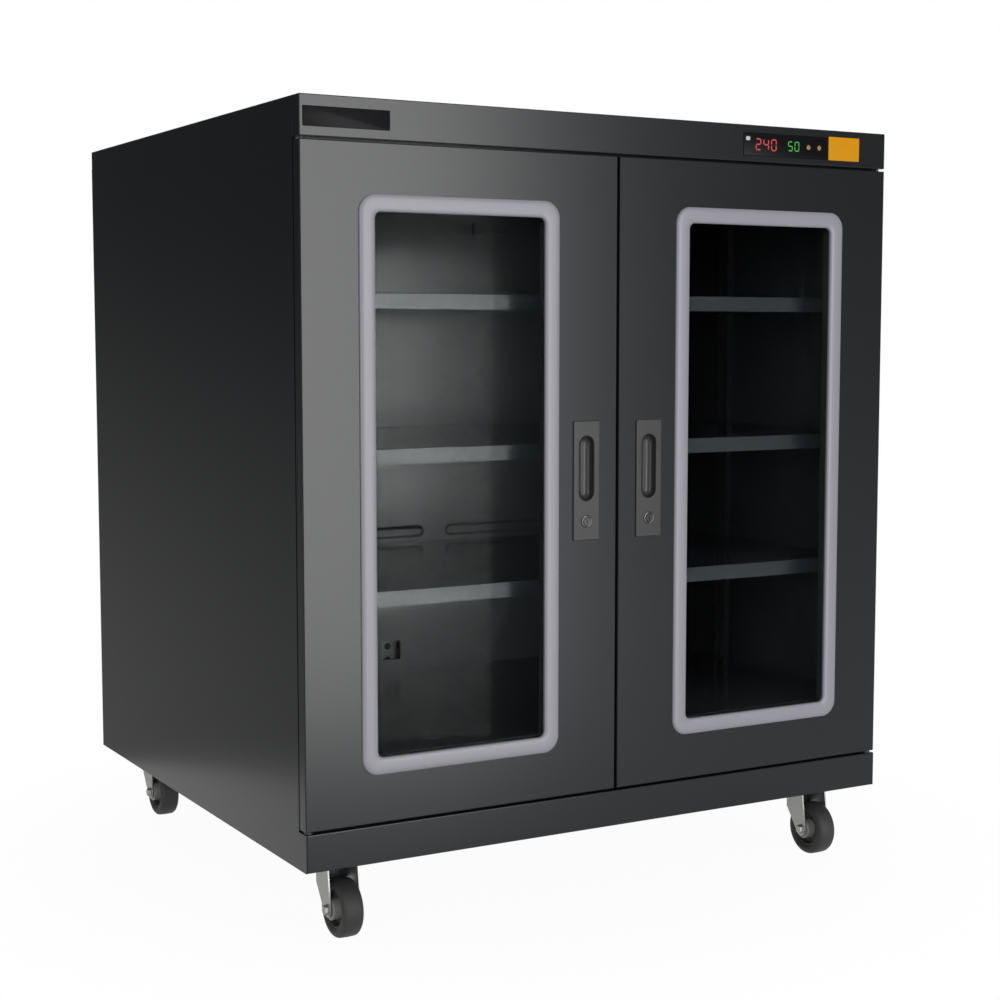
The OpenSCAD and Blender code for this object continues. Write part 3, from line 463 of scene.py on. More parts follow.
dress(glass, "left_door_glass", "right_door_glass")
dress(zinc, "castor_plates")
dress(satin, "shelf_supports", "inner_shutter")
dress(bright, "left_door_bushes", "right_door_bushes", "inlet_blades")
dress(lock_metal, "left_lock_barrel", "right_lock_barrel")
dress(black, "hinge_pins", "outer_shutter", "dryer_case", "power_inlet", "rocker_switch",
      "desiccant_cartridge")
dress(board, "control_board")
dress(black_gloss, "sensor")

# %% [markdown]
# ## Folded sheet metal
# A press brake can't fold steel to a knife edge: the outside of each fold is round. The frame's
# panels are exact but sharp, so a merged copy of each gets a Bevel modifier on its folds alone.
# A fold is a convex edge between two wide faces. The rim of a sheet is too narrow to be one, and
# stays as the shears cut it. Flat faces are merged first to find the folds, and then cut back into
# triangles, because a large face with holes in it doesn't survive the bevel.

# %% Folded panels
WIDE_FACE = 6 * MM
MERGE_REACH = 0.01 * MM
FLAT_ANGLE = radians(0.5)
FOLD_ANGLE = radians(60)
FOLD_SEGMENTS = 3
# Outside radius of each panel's folds, in millimetres
BODY_FOLDS = {"plinth": 1.6, "left_side_panel": 0.6, "right_side_panel": 0.6, "rear_panel": 0.5,
              "top_cover": 1.8, "left_door_shell": 1.6, "right_door_shell": 1.6}
INNER_FOLDS = {"floor_panel": 1.5, "ceiling_panel": 0.4, "door_frame": 0.4, "left_door_liner": 0.6,
               "right_door_liner": 0.6}
SHELF_FOLDS = {"lower_shelf": 2.2, "middle_shelf": 2.2, "upper_shelf": 2.2}


def is_fold(edge):
    """Whether an edge is convex and sharp, between faces that are wide for the edge's length."""
    if len(edge.link_faces) != 2 or not edge.is_convex or edge.calc_face_angle() < FOLD_ANGLE:
        return False
    return all(face.calc_area() / edge.calc_length() > WIDE_FACE for face in edge.link_faces)


def folded(name, finish, radius):
    """A copy of a CAD node whose folds are rounded, in its place."""
    old = frame["nodes"][name]
    mesh = old.data.copy()
    work = bmesh.new()
    work.from_mesh(mesh)
    bmesh.ops.remove_doubles(work, verts=work.verts, dist=MERGE_REACH)
    bmesh.ops.dissolve_limit(work, angle_limit=FLAT_ANGLE, verts=work.verts, edges=work.edges)
    weight = work.edges.layers.float.new("bevel_weight_edge")
    for edge in work.edges:
        edge[weight] = 1.0 if is_fold(edge) else 0.0
    bmesh.ops.triangulate(work, faces=[face for face in work.faces if len(face.verts) > 4])
    work.to_mesh(mesh)
    work.free()
    mesh.name = name + "_folded"
    mesh.materials.clear()
    piece = put(name + "_folded", mesh, finish)
    bevel = piece.modifiers.new("folds", "BEVEL")
    bevel.width = radius
    bevel.segments = FOLD_SEGMENTS
    bevel.limit_method = "WEIGHT"
    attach(piece, old["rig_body"])
    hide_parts(name)


for folds, finish, slot in ((BODY_FOLDS, coat, "steel"), (INNER_FOLDS, satin, "inner_steel"),
                            (SHELF_FOLDS, shelf_paint, "shelf_steel")):
    for panel, radius in folds.items():
        folded(panel, finish, radius * MM)
    print(slot, len(folds), "folded panels")

# %% [markdown]
# ## The pressed back wall
# Two long beads stiffen the inner back wall. A press leaves them with soft shoulders, so the wall
# is a height field: the depth at a point follows its distance to the bead's middle line, through a
# smooth step. The grid's lines crowd where the bead's edge is, and its cells over the air port are
# left out.

# %% Back wall
WALL_LOW, WALL_HIGH = low("back_wall"), high("back_wall")
SHEET = 1.5 * MM
BEAD_DEPTH = 4 * MM
BEAD_HEIGHT = 26 * MM
BEAD_SHOULDER = 7 * MM
BEAD_FOOT = 590.5 * MM
BEAD_SPAN = (24.5 * MM, 528.5 * MM)
PORT_MID = np.array([-103.5, 358]) * MM
PORT_SIZE = np.array([43, 39]) * MM
CROWD_REACH = 18 * MM
CROWD_STEP = 1.5 * MM
WIDE_STEP_X, WIDE_STEP_Z = 50 * MM, 60 * MM


def bead_relief(x, z):
    """Depth below the wall: a smooth step of the distance inside the slot outline of a bead."""
    reach = BEAD_HEIGHT / 2
    run = np.clip(np.abs(x), BEAD_SPAN[0] + reach, BEAD_SPAN[1] - reach)
    inside = reach - np.hypot(np.abs(x) - run, z - BEAD_FOOT - reach)
    share = np.clip(inside / BEAD_SHOULDER, 0, 1)
    return BEAD_DEPTH * share ** 2 * (3 - 2 * share)


def crowded(axis, centres, wide, port):
    """Grid lines over the wall: wide apart, close together near each centre, and at the port.

    Lines are rounded to a micrometre, so that equal ones merge.
    """
    lines = [np.arange(WALL_LOW[axis], WALL_HIGH[axis], wide), [WALL_HIGH[axis]]]
    lines += [np.arange(centre - CROWD_REACH, centre + CROWD_REACH, CROWD_STEP) for centre in centres]
    return np.unique(np.append(np.round(np.concatenate(lines), 6), port))


def back_wall():
    """The wall's face and its copy one sheet behind, joined along every border of the grid.

    The face lies at the wall's front plus the relief. A border is an edge that only one cell has.
    """
    port = np.array([PORT_MID - PORT_SIZE / 2, PORT_MID + PORT_SIZE / 2])
    ends = [side * end for side in (-1, 1) for end in BEAD_SPAN]
    xs = crowded(X, ends, WIDE_STEP_X, port[:, 0])
    zs = crowded(Z, [BEAD_FOOT + BEAD_HEIGHT / 2], WIDE_STEP_Z, port[:, 1])
    x, z = np.meshgrid(xs, zs, indexing="ij")
    face = WALL_LOW[Y] + bead_relief(x, z)
    fronts = np.stack([x, face, z], -1).reshape(-1, 3)
    backs = np.stack([x, face + SHEET, z], -1).reshape(-1, 3)
    index = np.arange(x.size).reshape(x.shape)
    quads = np.stack([index[:-1, :-1], index[1:, :-1], index[1:, 1:], index[:-1, 1:]], -1)
    mid_x, mid_z = (xs[1:] + xs[:-1]) / 2, (zs[1:] + zs[:-1]) / 2
    in_port = ((np.abs(mid_x - PORT_MID[0]) < PORT_SIZE[0] / 2)[:, None]
               & (np.abs(mid_z - PORT_MID[1]) < PORT_SIZE[1] / 2)[None, :])
    kept = quads[~in_port]
    edges = np.stack([kept, np.roll(kept, -1, axis=1)], -1).reshape(-1, 2)
    _, first, counts = np.unique(np.sort(edges, axis=1), axis=0, return_index=True, return_counts=True)
    border = edges[first[counts == 1]]
    walls = np.stack([border[:, 1], border[:, 0], border[:, 0] + x.size, border[:, 1] + x.size], -1)
    faces = kept.tolist() + (kept[:, ::-1] + x.size).tolist() + walls.tolist()
    return np.vstack([fronts, backs]), faces


add_piece("pressed_back_wall", "cabinet", back_wall(), satin, 30, "back_wall")

# %% [markdown]
# ## Window trims
# Each pane sits in a pale moulded frame. Its section is a flat-topped arch, which a superellipse
# gives with one exponent: the higher it is, the flatter the top and the tighter the shoulders.
# The section is carried along the window's rounded outline, which grows with its distance from it.

# %% Window trims
DOOR_FACE = low("left_door_shell")[Y]
HIDDEN_PANE = 17 * MM
PANE_SIZE = front_view("left_door_glass")[1] - 2 * HIDDEN_PANE
WINDOW_R = 11 * MM
TRIM_LAP = 5 * MM
CORNER_GROWTH = 0.65
TRIM_STEPS = 10
ARCH_POWER = 3.2
ARCH_POINTS = 16


def arch(width, height):
    """Superellipse from one foot to the other: |a|^p + |b|^p = 1, scaled to width and height."""
    turn = np.radians(np.linspace(180, 0, ARCH_POINTS + 1))
    across = np.sign(np.cos(turn)) * np.abs(np.cos(turn)) ** (2 / ARCH_POWER)
    up = np.abs(np.sin(turn)) ** (2 / ARCH_POWER)
    return np.stack([(across + 1) * width / 2, up * height], -1)


def window_trim(name):
    """The arch carried round the window, and the flange by which it sits in the door's skin.

    A row is the window's outline, grown by its distance from the glass and set at a depth.
    """
    mid, size = front_view(name)
    crown = arch((size[0] - PANE_SIZE[0]) / 2, DOOR_FACE - low(name)[Y])
    rows = [(grow, grow * CORNER_GROWTH, -rise) for grow, rise in crown]
    rows += [(grow, grow, back) for grow, back in ((TRIM_LAP, 0), (TRIM_LAP, SHEET), (0, SHEET))]
    return shell([placed(rectangle(PANE_SIZE + 2 * grow, WINDOW_R + rounding, mid, TRIM_STEPS),
                         DOOR_FACE + depth, Y) for grow, rounding, depth in rows], wrap=True)


on_both_doors("moulded_trim", "window_trim", window_trim, moulding, 50)

# %% [markdown]
# ## Door gaskets
# A soft seal runs round the back of each door. Its section has two lips with a valley between
# them, a sine wave over a flat base, carried round the door's edge.

# %% Gaskets
GASKET_W = 14 * MM
GASKET_BASE = 0.25
GASKET_STEPS = 5
LIP_POINTS = 14


def gasket(name):
    """Lips that stand to base + (1 - base) |sin 2 pi s| of the depth, over a flat base.

    The share s runs from the outer edge to the inner one. The outline shrinks with it, and its
    corners tighten to half their radius.
    """
    mid, size = front_view(name)
    foot, tip = low(name)[Y], high(name)[Y]
    shares = np.linspace(0, 1, LIP_POINTS + 1)
    lips = GASKET_BASE + (1 - GASKET_BASE) * np.abs(np.sin(2 * np.pi * shares))
    rows = [*zip(shares, foot + (tip - foot) * lips), (1, foot), (0, foot)]
    return shell([placed(rectangle(size - 2 * share * GASKET_W, GASKET_W * (1 - share / 2), mid,
                                   GASKET_STEPS), at, Y) for share, at in rows], wrap=True)


on_both_doors("lipped_gasket", "door_gasket", gasket, rubber, 40)

# %% [markdown]
# ## Flush handles
# A handle is one casting: a plate that stands a little proud of the door, and a cup for the
# fingers. Its section starts at the plate's outer edge, crosses the face, rolls over the lip,
# goes down the cup's wall and across its floor. Every row is a rounded rectangle, and the cup's
# rows are slots because their radius is half their width.

# %% Handles
RECESS_SIZE = np.array([29.5, 112]) * MM
RECESS_RISE = 21.5 * MM
SLOT_ROUNDING = 0.999 / 2
CUP_WALL = 1.5 * MM
CUP_FILLET = 11 * MM
FILLET_STEPS = 5
FLOOR_ROWS = 3
FLOOR_REACH = 0.98
PLATE_PROUD = 3 * MM
PLATE_CORNER = 2 * MM
PLATE_RIM = 1.2 * MM
LIP_RIM = 2 * MM
FLAT_MARGIN = 0.4 * MM
HANDLE_STEPS = 12


def handle(name):
    """One closed wall, from the cup's floor over the plate to its edge, and back outside the cup.

    The front rows are listed from the plate's edge to the middle of the floor, and then reversed.
    A narrow flat margin on each side of the face keeps its shading flat.
    """
    mid, size = front_view(name)
    face, back = low(name)[Y], high(name)[Y]
    floor, plate_foot = back - CUP_WALL, face + PLATE_PROUD
    hole = mid + np.array([0, RECESS_RISE])
    floor_insets = np.linspace(CUP_FILLET, RECESS_SIZE[0] / 2 * FLOOR_REACH, FLOOR_ROWS + 1)[1:]
    fillet = rim(CUP_FILLET, FILLET_STEPS)
    front = [plate_row(mid, size, 0, plate_foot)]
    front += [plate_row(mid, size, inset, face + depth) for inset, depth in rim(PLATE_RIM)]
    front.append(plate_row(mid, size, PLATE_RIM + FLAT_MARGIN, face))
    front.append(cup_row(hole, LIP_RIM + FLAT_MARGIN, face))
    front += [cup_row(hole, inset, face + depth) for inset, depth in rim(LIP_RIM)[::-1]]
    front += [cup_row(hole, -inset, floor - depth) for inset, depth in fillet]
    front += [cup_row(hole, -inset, floor) for inset in floor_insets]
    outside = [cup_row(hole, CUP_WALL, plate_foot)]
    outside += [cup_row(hole, CUP_WALL - inset, back - depth) for inset, depth in fillet]
    return shell(front[::-1] + outside)


def plate_row(mid, size, inset, at):
    """The plate's outline, drawn in all round and set at a depth."""
    return placed(rectangle(size - 2 * inset, PLATE_CORNER, mid, HANDLE_STEPS), at, Y)


def cup_row(mid, grow, at):
    """Slot outline of the recess, grown all round and set at a depth."""
    size = RECESS_SIZE + 2 * grow
    return placed(rectangle(size, size[0] * SLOT_ROUNDING, mid, HANDLE_STEPS), at, Y)


on_both_doors("flush_handle", "handle", handle, brushed, 35)

# %% [markdown]
# ## Locks
# The fixed part of each lock is turned: a dished rim round the barrel, a threaded housing through
# the door and a nut behind it. One profile of radius and place gives all of it, and six sides make
# the nut.

# %% Lock housings
HEX_SIDES = 6
# Radius and place of the rim's dished front, from the bore outwards, in millimetres
LOCK_DISH = [(6.55, 1.2), (8.2, 0.2), (9.4, 0), (10.5, 0.4), (11, 1.2), (11, 2)]
LOCK_BORE_R = 6.55 * MM
LOCK_BODY_R = 9.5 * MM
LOCK_RIM_T = 2 * MM
NUT_R = 13 * MM
NUT_T = 3.5 * MM


def lock_housing(name):
    """Rim, body and nut: two profiles turned about Y, placed from the face of the rim."""
    (x, z), face = front_view(name)[0], low(name)[Y]
    length = high(name)[Y] - face
    body = [(LOCK_BODY_R, LOCK_RIM_T), (LOCK_BODY_R, length), (LOCK_BORE_R, length)]
    profile = [*(np.array(LOCK_DISH) * MM), *body]
    nut = [(LOCK_BODY_R, length - NUT_T), (NUT_R, length - NUT_T), (NUT_R, length), (LOCK_BODY_R, length)]
    return joined(turned(profile, (x, face, z), Y, wrap=True),
                  turned(nut, (x, face, z), Y, HEX_SIDES, wrap=True))


on_both_doors("lock_body", "lock_housing", lock_housing, lock_metal, 35)

# %% [markdown]
# ## Display strip
# The strip is a gloss black plate on a shallow box, which goes into the header. A small lamp
# window sits near its upper left corner.

# %% Display strip
STRIP_MID, STRIP_SIZE = front_view("display_panel")
STRIP_FACE, STRIP_BACK = low("display_panel")[Y], high("display_panel")[Y]
STRIP_CORNER, STRIP_RIM = 1.5 * MM, 0.6 * MM
STRIP_PROUD = 1.5 * MM
BOX_LAP = 4 * MM
BOX_CORNER, BOX_RIM = 1 * MM, 0.3 * MM
LAMP_SIZE = np.array([9, 7]) * MM
LAMP_PLACE = np.array([9, -11]) * MM
LAMP_CORNER, LAMP_RIM = 1.5 * MM, 0.4 * MM
LAMP_PROUD = 0.5 * MM


def strip():
    """A plate that stands out of the header, and the narrower box that goes into it."""
    foot = STRIP_FACE + STRIP_PROUD
    return joined(slab(STRIP_SIZE, STRIP_CORNER, STRIP_MID, STRIP_FACE, foot, STRIP_RIM),
                  slab(STRIP_SIZE - 2 * BOX_LAP, BOX_CORNER, STRIP_MID, STRIP_BACK, foot, BOX_RIM))


def power_lamp():
    """A small window near the strip's upper left corner."""
    corner = STRIP_MID + STRIP_SIZE / 2 * (-1, 1)
    return slab(LAMP_SIZE, LAMP_CORNER, corner + LAMP_PLACE, STRIP_FACE - LAMP_PROUD, STRIP_FACE, LAMP_RIM)


add_piece("display_strip", "cabinet", strip(), black_gloss, 30, "display_panel")

# %% [markdown]
# ## Digits
# Each digit is the usual seven bars, and a table says which are lit for a number, as in a real
# display. A bar is a flat hexagon that lies across or stands upright, at a place told in widths
# across and half heights up from the digit's middle. It is a little shorter than its side, so that
# neighbours don't touch. Bars stand a fraction of a millimetre out of the plate, so that they are
# shapes and not paint.

# %% Digits
BAR_PROUD = 0.2 * MM
BAR_GAP = 0.3
BARS_LIT = {"0": "abcdef", "2": "abdeg", "4": "bcfg", "5": "acdfg"}
BAR_PLACES = {"a": (0, 1, 0), "b": (0.5, 0.5, 1), "c": (0.5, -0.5, 1), "d": (0, -1, 0),
              "e": (-0.5, -0.5, 1), "f": (-0.5, 0.5, 1), "g": (0, 0, 0)}
# Numbers shown, X of the first digit, a digit's size, their pitch and a bar's width, in millimetres
NUMBERS = {"red_digits": ("240", 300, (10.5, 19), 17.5, 2.4, red_digit),
           "green_digits": ("50", 373, (9, 16), 15, 2.0, green_digit)}


def bar(mid, length, width, upright):
    """A hexagon drawn out along its length, standing proud of the strip."""
    tip, half = (length - width) / 2, width / 2
    flat = np.array([[length / 2, 0], [tip, half], [-tip, half], [-length / 2, 0], [-tip, -half],
                     [tip, -half]])
    loop = (flat[:, ::-1] if upright else flat) + mid
    return shell([placed(loop, STRIP_FACE, Y), placed(loop, STRIP_FACE - BAR_PROUD, Y)])


def digit(number, mid, size, width):
    """The bars that are lit for a number, each at its place about the digit's middle."""
    bars = []
    for across, up, upright in (BAR_PLACES[name] for name in BARS_LIT[number]):
        place = np.array(mid) + np.array([across * size[0], up * size[1] / 2])
        length = (size[1] / 2 if upright else size[0]) - width * BAR_GAP
        bars.append(bar(place, length, width, upright))
    return joined(*bars)


for name, (text, first, size, pitch, width, finish) in NUMBERS.items():
    row = [digit(number, ((first + k * pitch) * MM, STRIP_MID[1]), np.array(size) * MM, width * MM)
           for k, number in enumerate(text)]
    add_piece(name, "cabinet", joined(*row), finish)
add_piece("power_lamp", "cabinet", power_lamp(), white_lamp, 40)

# %% [markdown]
# ## Keys
# Two gold keys on the strip are small turned caps: a dished top that the fingertip finds, a round
# shoulder, and a wider flange at the foot that keeps the key from falling out.

# %% Keys
# Radius and place of the dished top and the shoulder, in millimetres
KEY_TOP = [(1.2, 0.15), (2.4, 0), (3.6, 0.1), (4.5, 0.7)]
KEY_R = 4.5 * MM
FLANGE_R, FLANGE_T = 6 * MM, 1.5 * MM
KEY_SIDES = 32


def key_cap(name):
    """A profile turned about Y, from the dished top down to the flange."""
    (x, z), face = front_view(name)[0], low(name)[Y]
    length = high(name)[Y] - face
    foot = [(KEY_R, length - FLANGE_T), (FLANGE_R, length - FLANGE_T), (FLANGE_R, length)]
    return turned([*(np.array(KEY_TOP) * MM), *foot], (x, face, z), Y, KEY_SIDES)


for side in SIDES:
    name = side + "_key"
    add_piece(name + "_cap", name, key_cap(name), gold, 35, name)

# %% [markdown]
# ## Plates on the header
# Both plates are thin printed sheets with a rounded rim. The dark one is left bare.

# %% Plates
SIGN_CORNER, SIGN_RIM = 1.2 * MM, 0.6 * MM
for name, finish, slot in (("indicator_plate", orange, "orange_plate"),
                           ("badge_plate", black_gloss, "black_gloss")):
    mid, size = front_view(name)
    plate = slab(size, SIGN_CORNER, mid, low(name)[Y], high(name)[Y], SIGN_RIM)
    add_piece("printed_" + name, "cabinet", plate, finish, 30, name)

# %% [markdown]
# ## Castor forks
# A castor's fork is one sheet of steel, bent over at the top. Its cheeks taper to a round foot
# about the axle. The front edge slopes all the way, and the rear edge is upright down to a
# shoulder. Walking along the bend gives one parameter of its surface, and walking from the front
# edge to the rear edge of the sheet gives the other. The same grid, moved in by the sheet's
# thickness, is its inside.

# %% Fork sheet
WHEEL_R = 50 * MM
TRAIL = 20.5 * MM
FORK_W = 58 * MM
FORK_T = 2.5 * MM
FORK_TOP = 126.7 * MM
CHEEK_W = 46 * MM
CHEEK_R = 13 * MM
BEND_R = 7 * MM
SHOULDER_Z = 88 * MM
FOOT_POINTS, CHEEK_POINTS, BEND_POINTS, ACROSS_POINTS = 9, 16, 7, 7
AXLE = np.array([-TRAIL, WHEEL_R])


def touch(point, turn_way):
    """Where a line from a point touches the foot's circle."""
    away = point - AXLE
    turn = atan2(away[1], away[0]) + turn_way * acos(CHEEK_R / np.hypot(*away))
    return AXLE + CHEEK_R * np.array([cos(turn), sin(turn)])


def cheek_edges(z):
    """Front and rear edge of a cheek at a height: tangent lines above, the foot's circle below.

    The rear edge is upright down to a shoulder, where its tangent line starts.
    """
    edges = []
    for way, sign, start in ((1, -1, FORK_TOP), (-1, 1, SHOULDER_Z)):
        top = np.array([sign * CHEEK_W / 2, start])
        foot = touch(top, way)
        share = np.clip((z - foot[1]) / (top[1] - foot[1]), 0, 1)
        line = foot[0] + share * (top[0] - foot[0])
        drop = np.clip(1 - ((z - AXLE[1]) / CHEEK_R) ** 2, 0, 1)
        edges.append(np.where(z > foot[1], line, AXLE[0] + sign * CHEEK_R * np.sqrt(drop)))
    return edges


def fork_path(inset):
    """The bend from one foot to the other, as X and Z, drawn in by an inset."""
    half, top, bend = FORK_W / 2 - inset, FORK_TOP - inset, BEND_R - inset
    foot = AXLE[1] - CHEEK_R * np.cos(np.radians(np.linspace(0, 90, FOOT_POINTS)))
    cheek = np.linspace(AXLE[1], FORK_TOP - BEND_R, CHEEK_POINTS)[1:]
    turn = np.radians(np.linspace(0, 90, BEND_POINTS))[1:]
    xs = np.concatenate([np.full(foot.size + cheek.size, half), half - bend * (1 - np.cos(turn))])
    zs = np.concatenate([foot, cheek, top - bend * (1 - np.sin(turn))])
    return np.concatenate([xs, -xs[::-1]]), np.concatenate([zs, zs[::-1]])


def fork_sheet():
    """Closed loops round the sheet's section, one for each step along the bend."""
    front, rear = cheek_edges(fork_path(0)[1])
    ys = front[:, None] + (rear - front)[:, None] * np.linspace(0, 1, ACROSS_POINTS)
    faces = []
    for inset in (0, FORK_T):
        x, z = (np.broadcast_to(line[:, None], ys.shape) for line in fork_path(inset))
        faces.append(np.stack([x, ys, z], -1))
    return shell(np.concatenate([faces[0], faces[1][:, ::-1]], axis=1))


# %% [markdown]
# ## Races, bolts and a plate of painted shade
# Under the plate a pressed race carries the balls, and a bolt with a washer and a hexagon at both
# ends holds the wheel. An upright black plate behind the wheel closes the fork from cheek to cheek.
# It is painted shade: a dark sheet set where the inside of the fork is only in shadow.

# %% Fork fittings
AXLE_PLACE = (0, *AXLE)
# Radius and height of the race's section, in millimetres
RACE = [(12, 0), (27, 0), (27, 1.2), (25, 3.5), (12, 3.5)]
ROD_R, ROD_OUT, ROD_SIDES = 6 * MM, 4 * MM, 24
# Radius and place of the washer and of the hexagon, outwards from the cheek, in millimetres
WASHER = [(9.8, 0), (9.8, 1)]
BOLT_HEAD = [(8.6, 1), (8.6, 5), (7.4, 6)]
BOLT_GAP = 0.05 * MM
WASHER_SIDES, HEX_START = 32, 15
# Corner, rim and inset of the black plate of painted shade behind the wheel
SHADE_PLATE_CORNER, SHADE_PLATE_RIM, SHADE_PLATE_INSET = 1 * MM, 0.8 * MM, 0.5 * MM


def fork():
    """Sheet, lower race and the bolt with its two hexagons and washers."""
    rod = [(ROD_R, way * (FORK_W / 2 + ROD_OUT)) for way in (-1, 1)]
    parts = [fork_sheet(), turned(np.array(RACE) * MM, (0, 0, FORK_TOP), Z, wrap=True),
             turned(rod, AXLE_PLACE, X, ROD_SIDES)]
    for way in (-1, 1):
        washer, head = ([(r * MM, way * (FORK_W / 2 + BOLT_GAP + out * MM)) for r, out in outline]
                        for outline in (WASHER, BOLT_HEAD))
        parts += [turned(washer, AXLE_PLACE, X, WASHER_SIDES),
                  turned(head, AXLE_PLACE, X, HEX_SIDES, start=HEX_START)]
    return joined(*parts)


def painted_shade_plate():
    """Painted shade: an upright black plate behind the wheel, from cheek to cheek, where the fork's inside
    is in shadow.
    """
    size = (FORK_W - 2 * FORK_T, FORK_TOP - FORK_T - SHOULDER_Z)
    rear = CHEEK_W / 2 - SHADE_PLATE_INSET
    return slab(size, SHADE_PLATE_CORNER, (0, SHOULDER_Z + size[1] / 2), rear - FORK_T, rear, SHADE_PLATE_RIM)


# %% [markdown]
# ## Wheels
# A wheel is a moulded hub with a dished web, a rubber tyre with a low crown and round shoulders,
# and a pale collar on both sides of the axle. All are turned about the axle, so each needs half a
# profile, which is mirrored across the wheel's middle.

# %% Wheels
# Radius and place along the axle of the hub's half profile, from bore to rim, in millimetres
HUB_HALF = [(6.05, 26), (11, 26), (12, 25), (12.6, 9), (15, 6.5), (24, 5), (28, 6.5), (29.5, 13),
            (30.5, 15.5), (34, 15.5)]
# The collar's section, and the tyre's side wall with its moulded ring, in millimetres
COLLAR = [(12, 7), (18.5, 7), (18.5, 23.5), (17.5, 24.5), (12, 24.5)]
TYRE_WALL = [(34, 16.5), (36, 18), (38.5, 18.2), (39.2, 19), (42, 19)]
TYRE_HALF_W = 19 * MM
TYRE_SHOULDER = 8 * MM
CROWN_RISE = 0.4 * MM
SHOULDER_TURN = np.radians(np.linspace(0, 80, 7))[1:]
HUB_SIDES, TYRE_SIDES = 64, 72


def both_halves(half, middle=()):
    """Half a profile, what lies in the middle, and the half again with its places negative."""
    return [*half, *middle, *(half[::-1] * (1, -1))]


def hub():
    """Boss, dished web and rim as one closed profile of radius and place along the axle."""
    return turned(both_halves(np.array(HUB_HALF) * MM), AXLE_PLACE, X, HUB_SIDES, wrap=True)


def hub_boss():
    """Pale collar round the axle on both sides of the wheel, with a bevelled outer edge."""
    return joined(*[turned(np.array(COLLAR) * MM * (1, way), AXLE_PLACE, X, wrap=True)
                    for way in (-1, 1)])


def tyre():
    """Crowned tread with round shoulders and a moulded ring on each side wall.

    A shoulder is a circle arc that starts at the wall and ends a little below the crown.
    """
    shoulder = np.stack([WHEEL_R - CROWN_RISE - TYRE_SHOULDER * (1 - np.sin(SHOULDER_TURN)),
                         TYRE_HALF_W - TYRE_SHOULDER * (1 - np.cos(SHOULDER_TURN))], -1)
    half = np.vstack([np.array(TYRE_WALL) * MM, shoulder])
    return turned(both_halves(half, [(WHEEL_R, 0)]), AXLE_PLACE, X, TYRE_SIDES, wrap=True)


# %% [markdown]
# ## Four castors
# A castor is worked out once about its own swivel axis, and each of the four gets a copy of the
# points, moved to its corner. The hub's box gives the axle's place, and the swivel axis stands one
# trail behind it.

# %% Castors
# Piece, what it rides on, slot, surface, finish, smoothing angle and the node it stands for
CASTOR_PIECES = (("bent_fork", "castor", "zinc", fork(), zinc, 35, "fork"),
                 # The black plate behind each wheel is painted shade, a dark sheet where the fork's inside
                 # is in shadow.
                 ("painted_shade_plate", "castor", "black_plastic", painted_shade_plate(), black, 35, None),
                 ("turned_hub", "wheel", "black_plastic", hub(), tread, 35, "hub"),
                 ("hub_boss", "wheel", "black_plastic", hub_boss(), grey, 35, None),
                 ("tread", "wheel", "tyre", tyre(), tread, 40, "tyre"))
for corner in (f"{end}_{side}_" for end in ENDS for side in SIDES):
    middle = (low(corner + "hub") + high(corner + "hub")) / 2
    offset = np.array((middle[X], middle[Y] + TRAIL, 0))
    for made, body, slot, (points, faces), finish, smooth, replaced in CASTOR_PIECES:
        add_piece(corner + made, corner + body, (points + offset, faces), finish, smooth,
                  corner + replaced if replaced else None)

# %% [markdown]
# ## Rear screws
# The rear panel is held by pan head screws, in one row down each side. A pan head is a short
# upright rim and an elliptic dome, turned about the screw's axis.

# %% Rear screws
SCREW_LOW, SCREW_HIGH = low("rear_screws"), high("rear_screws")
SCREW_COUNT, SCREW_SIDES = 6, 24
SHANK_R = 2 * MM
HEAD_R = 4.5 * MM
HEAD_T = 2.2 * MM
HEAD_RIM = 0.5 * MM
DOME_TURN = np.radians(np.linspace(10, 85, 6))


def rear_screws():
    """Two rows of screws, each a shank, an upright rim and a dome.

    The dome's radius follows the cosine and its height the sine of one angle.
    """
    seat = SCREW_HIGH[Y] - HEAD_T
    rise = HEAD_T - HEAD_RIM
    dome = np.stack([HEAD_R * np.cos(DOME_TURN), HEAD_RIM + rise * np.sin(DOME_TURN)], -1)
    profile = [(SHANK_R, SCREW_LOW[Y] - seat), (SHANK_R, 0), (HEAD_R, 0), (HEAD_R, HEAD_RIM), *dome]
    heights = np.linspace(SCREW_LOW[Z] + HEAD_R, SCREW_HIGH[Z] - HEAD_R, SCREW_COUNT)
    return joined(*[turned(profile, (x, seat, z), Y, SCREW_SIDES)
                    for x in (SCREW_LOW[X] + HEAD_R, SCREW_HIGH[X] - HEAD_R) for z in heights])


add_piece("pan_head_screws", "cabinet", rear_screws(), zinc, 35, "rear_screws")

# %% [markdown]
# ## The floor
# The cabinet stands in a white limbo. A small round floor keeps its shadow, and turns into plain
# white before its edge, so that no edge shows. The camera, mirrors and glass all see that white.

# %% Floor
FLOOR_R = 1.2
FLOOR_SHADE = 0.04
# Shares of the floor's radius between which its shadow fades
FADE_START, FADE_END = 0.55, 0.97
FLOOR_WHITE = (0.9, 0.9, 0.9, 1)
FLOOR_SIDES = 96
SEEING_RAYS = ("Is Camera Ray", "Is Glossy Ray", "Is Transmission Ray")


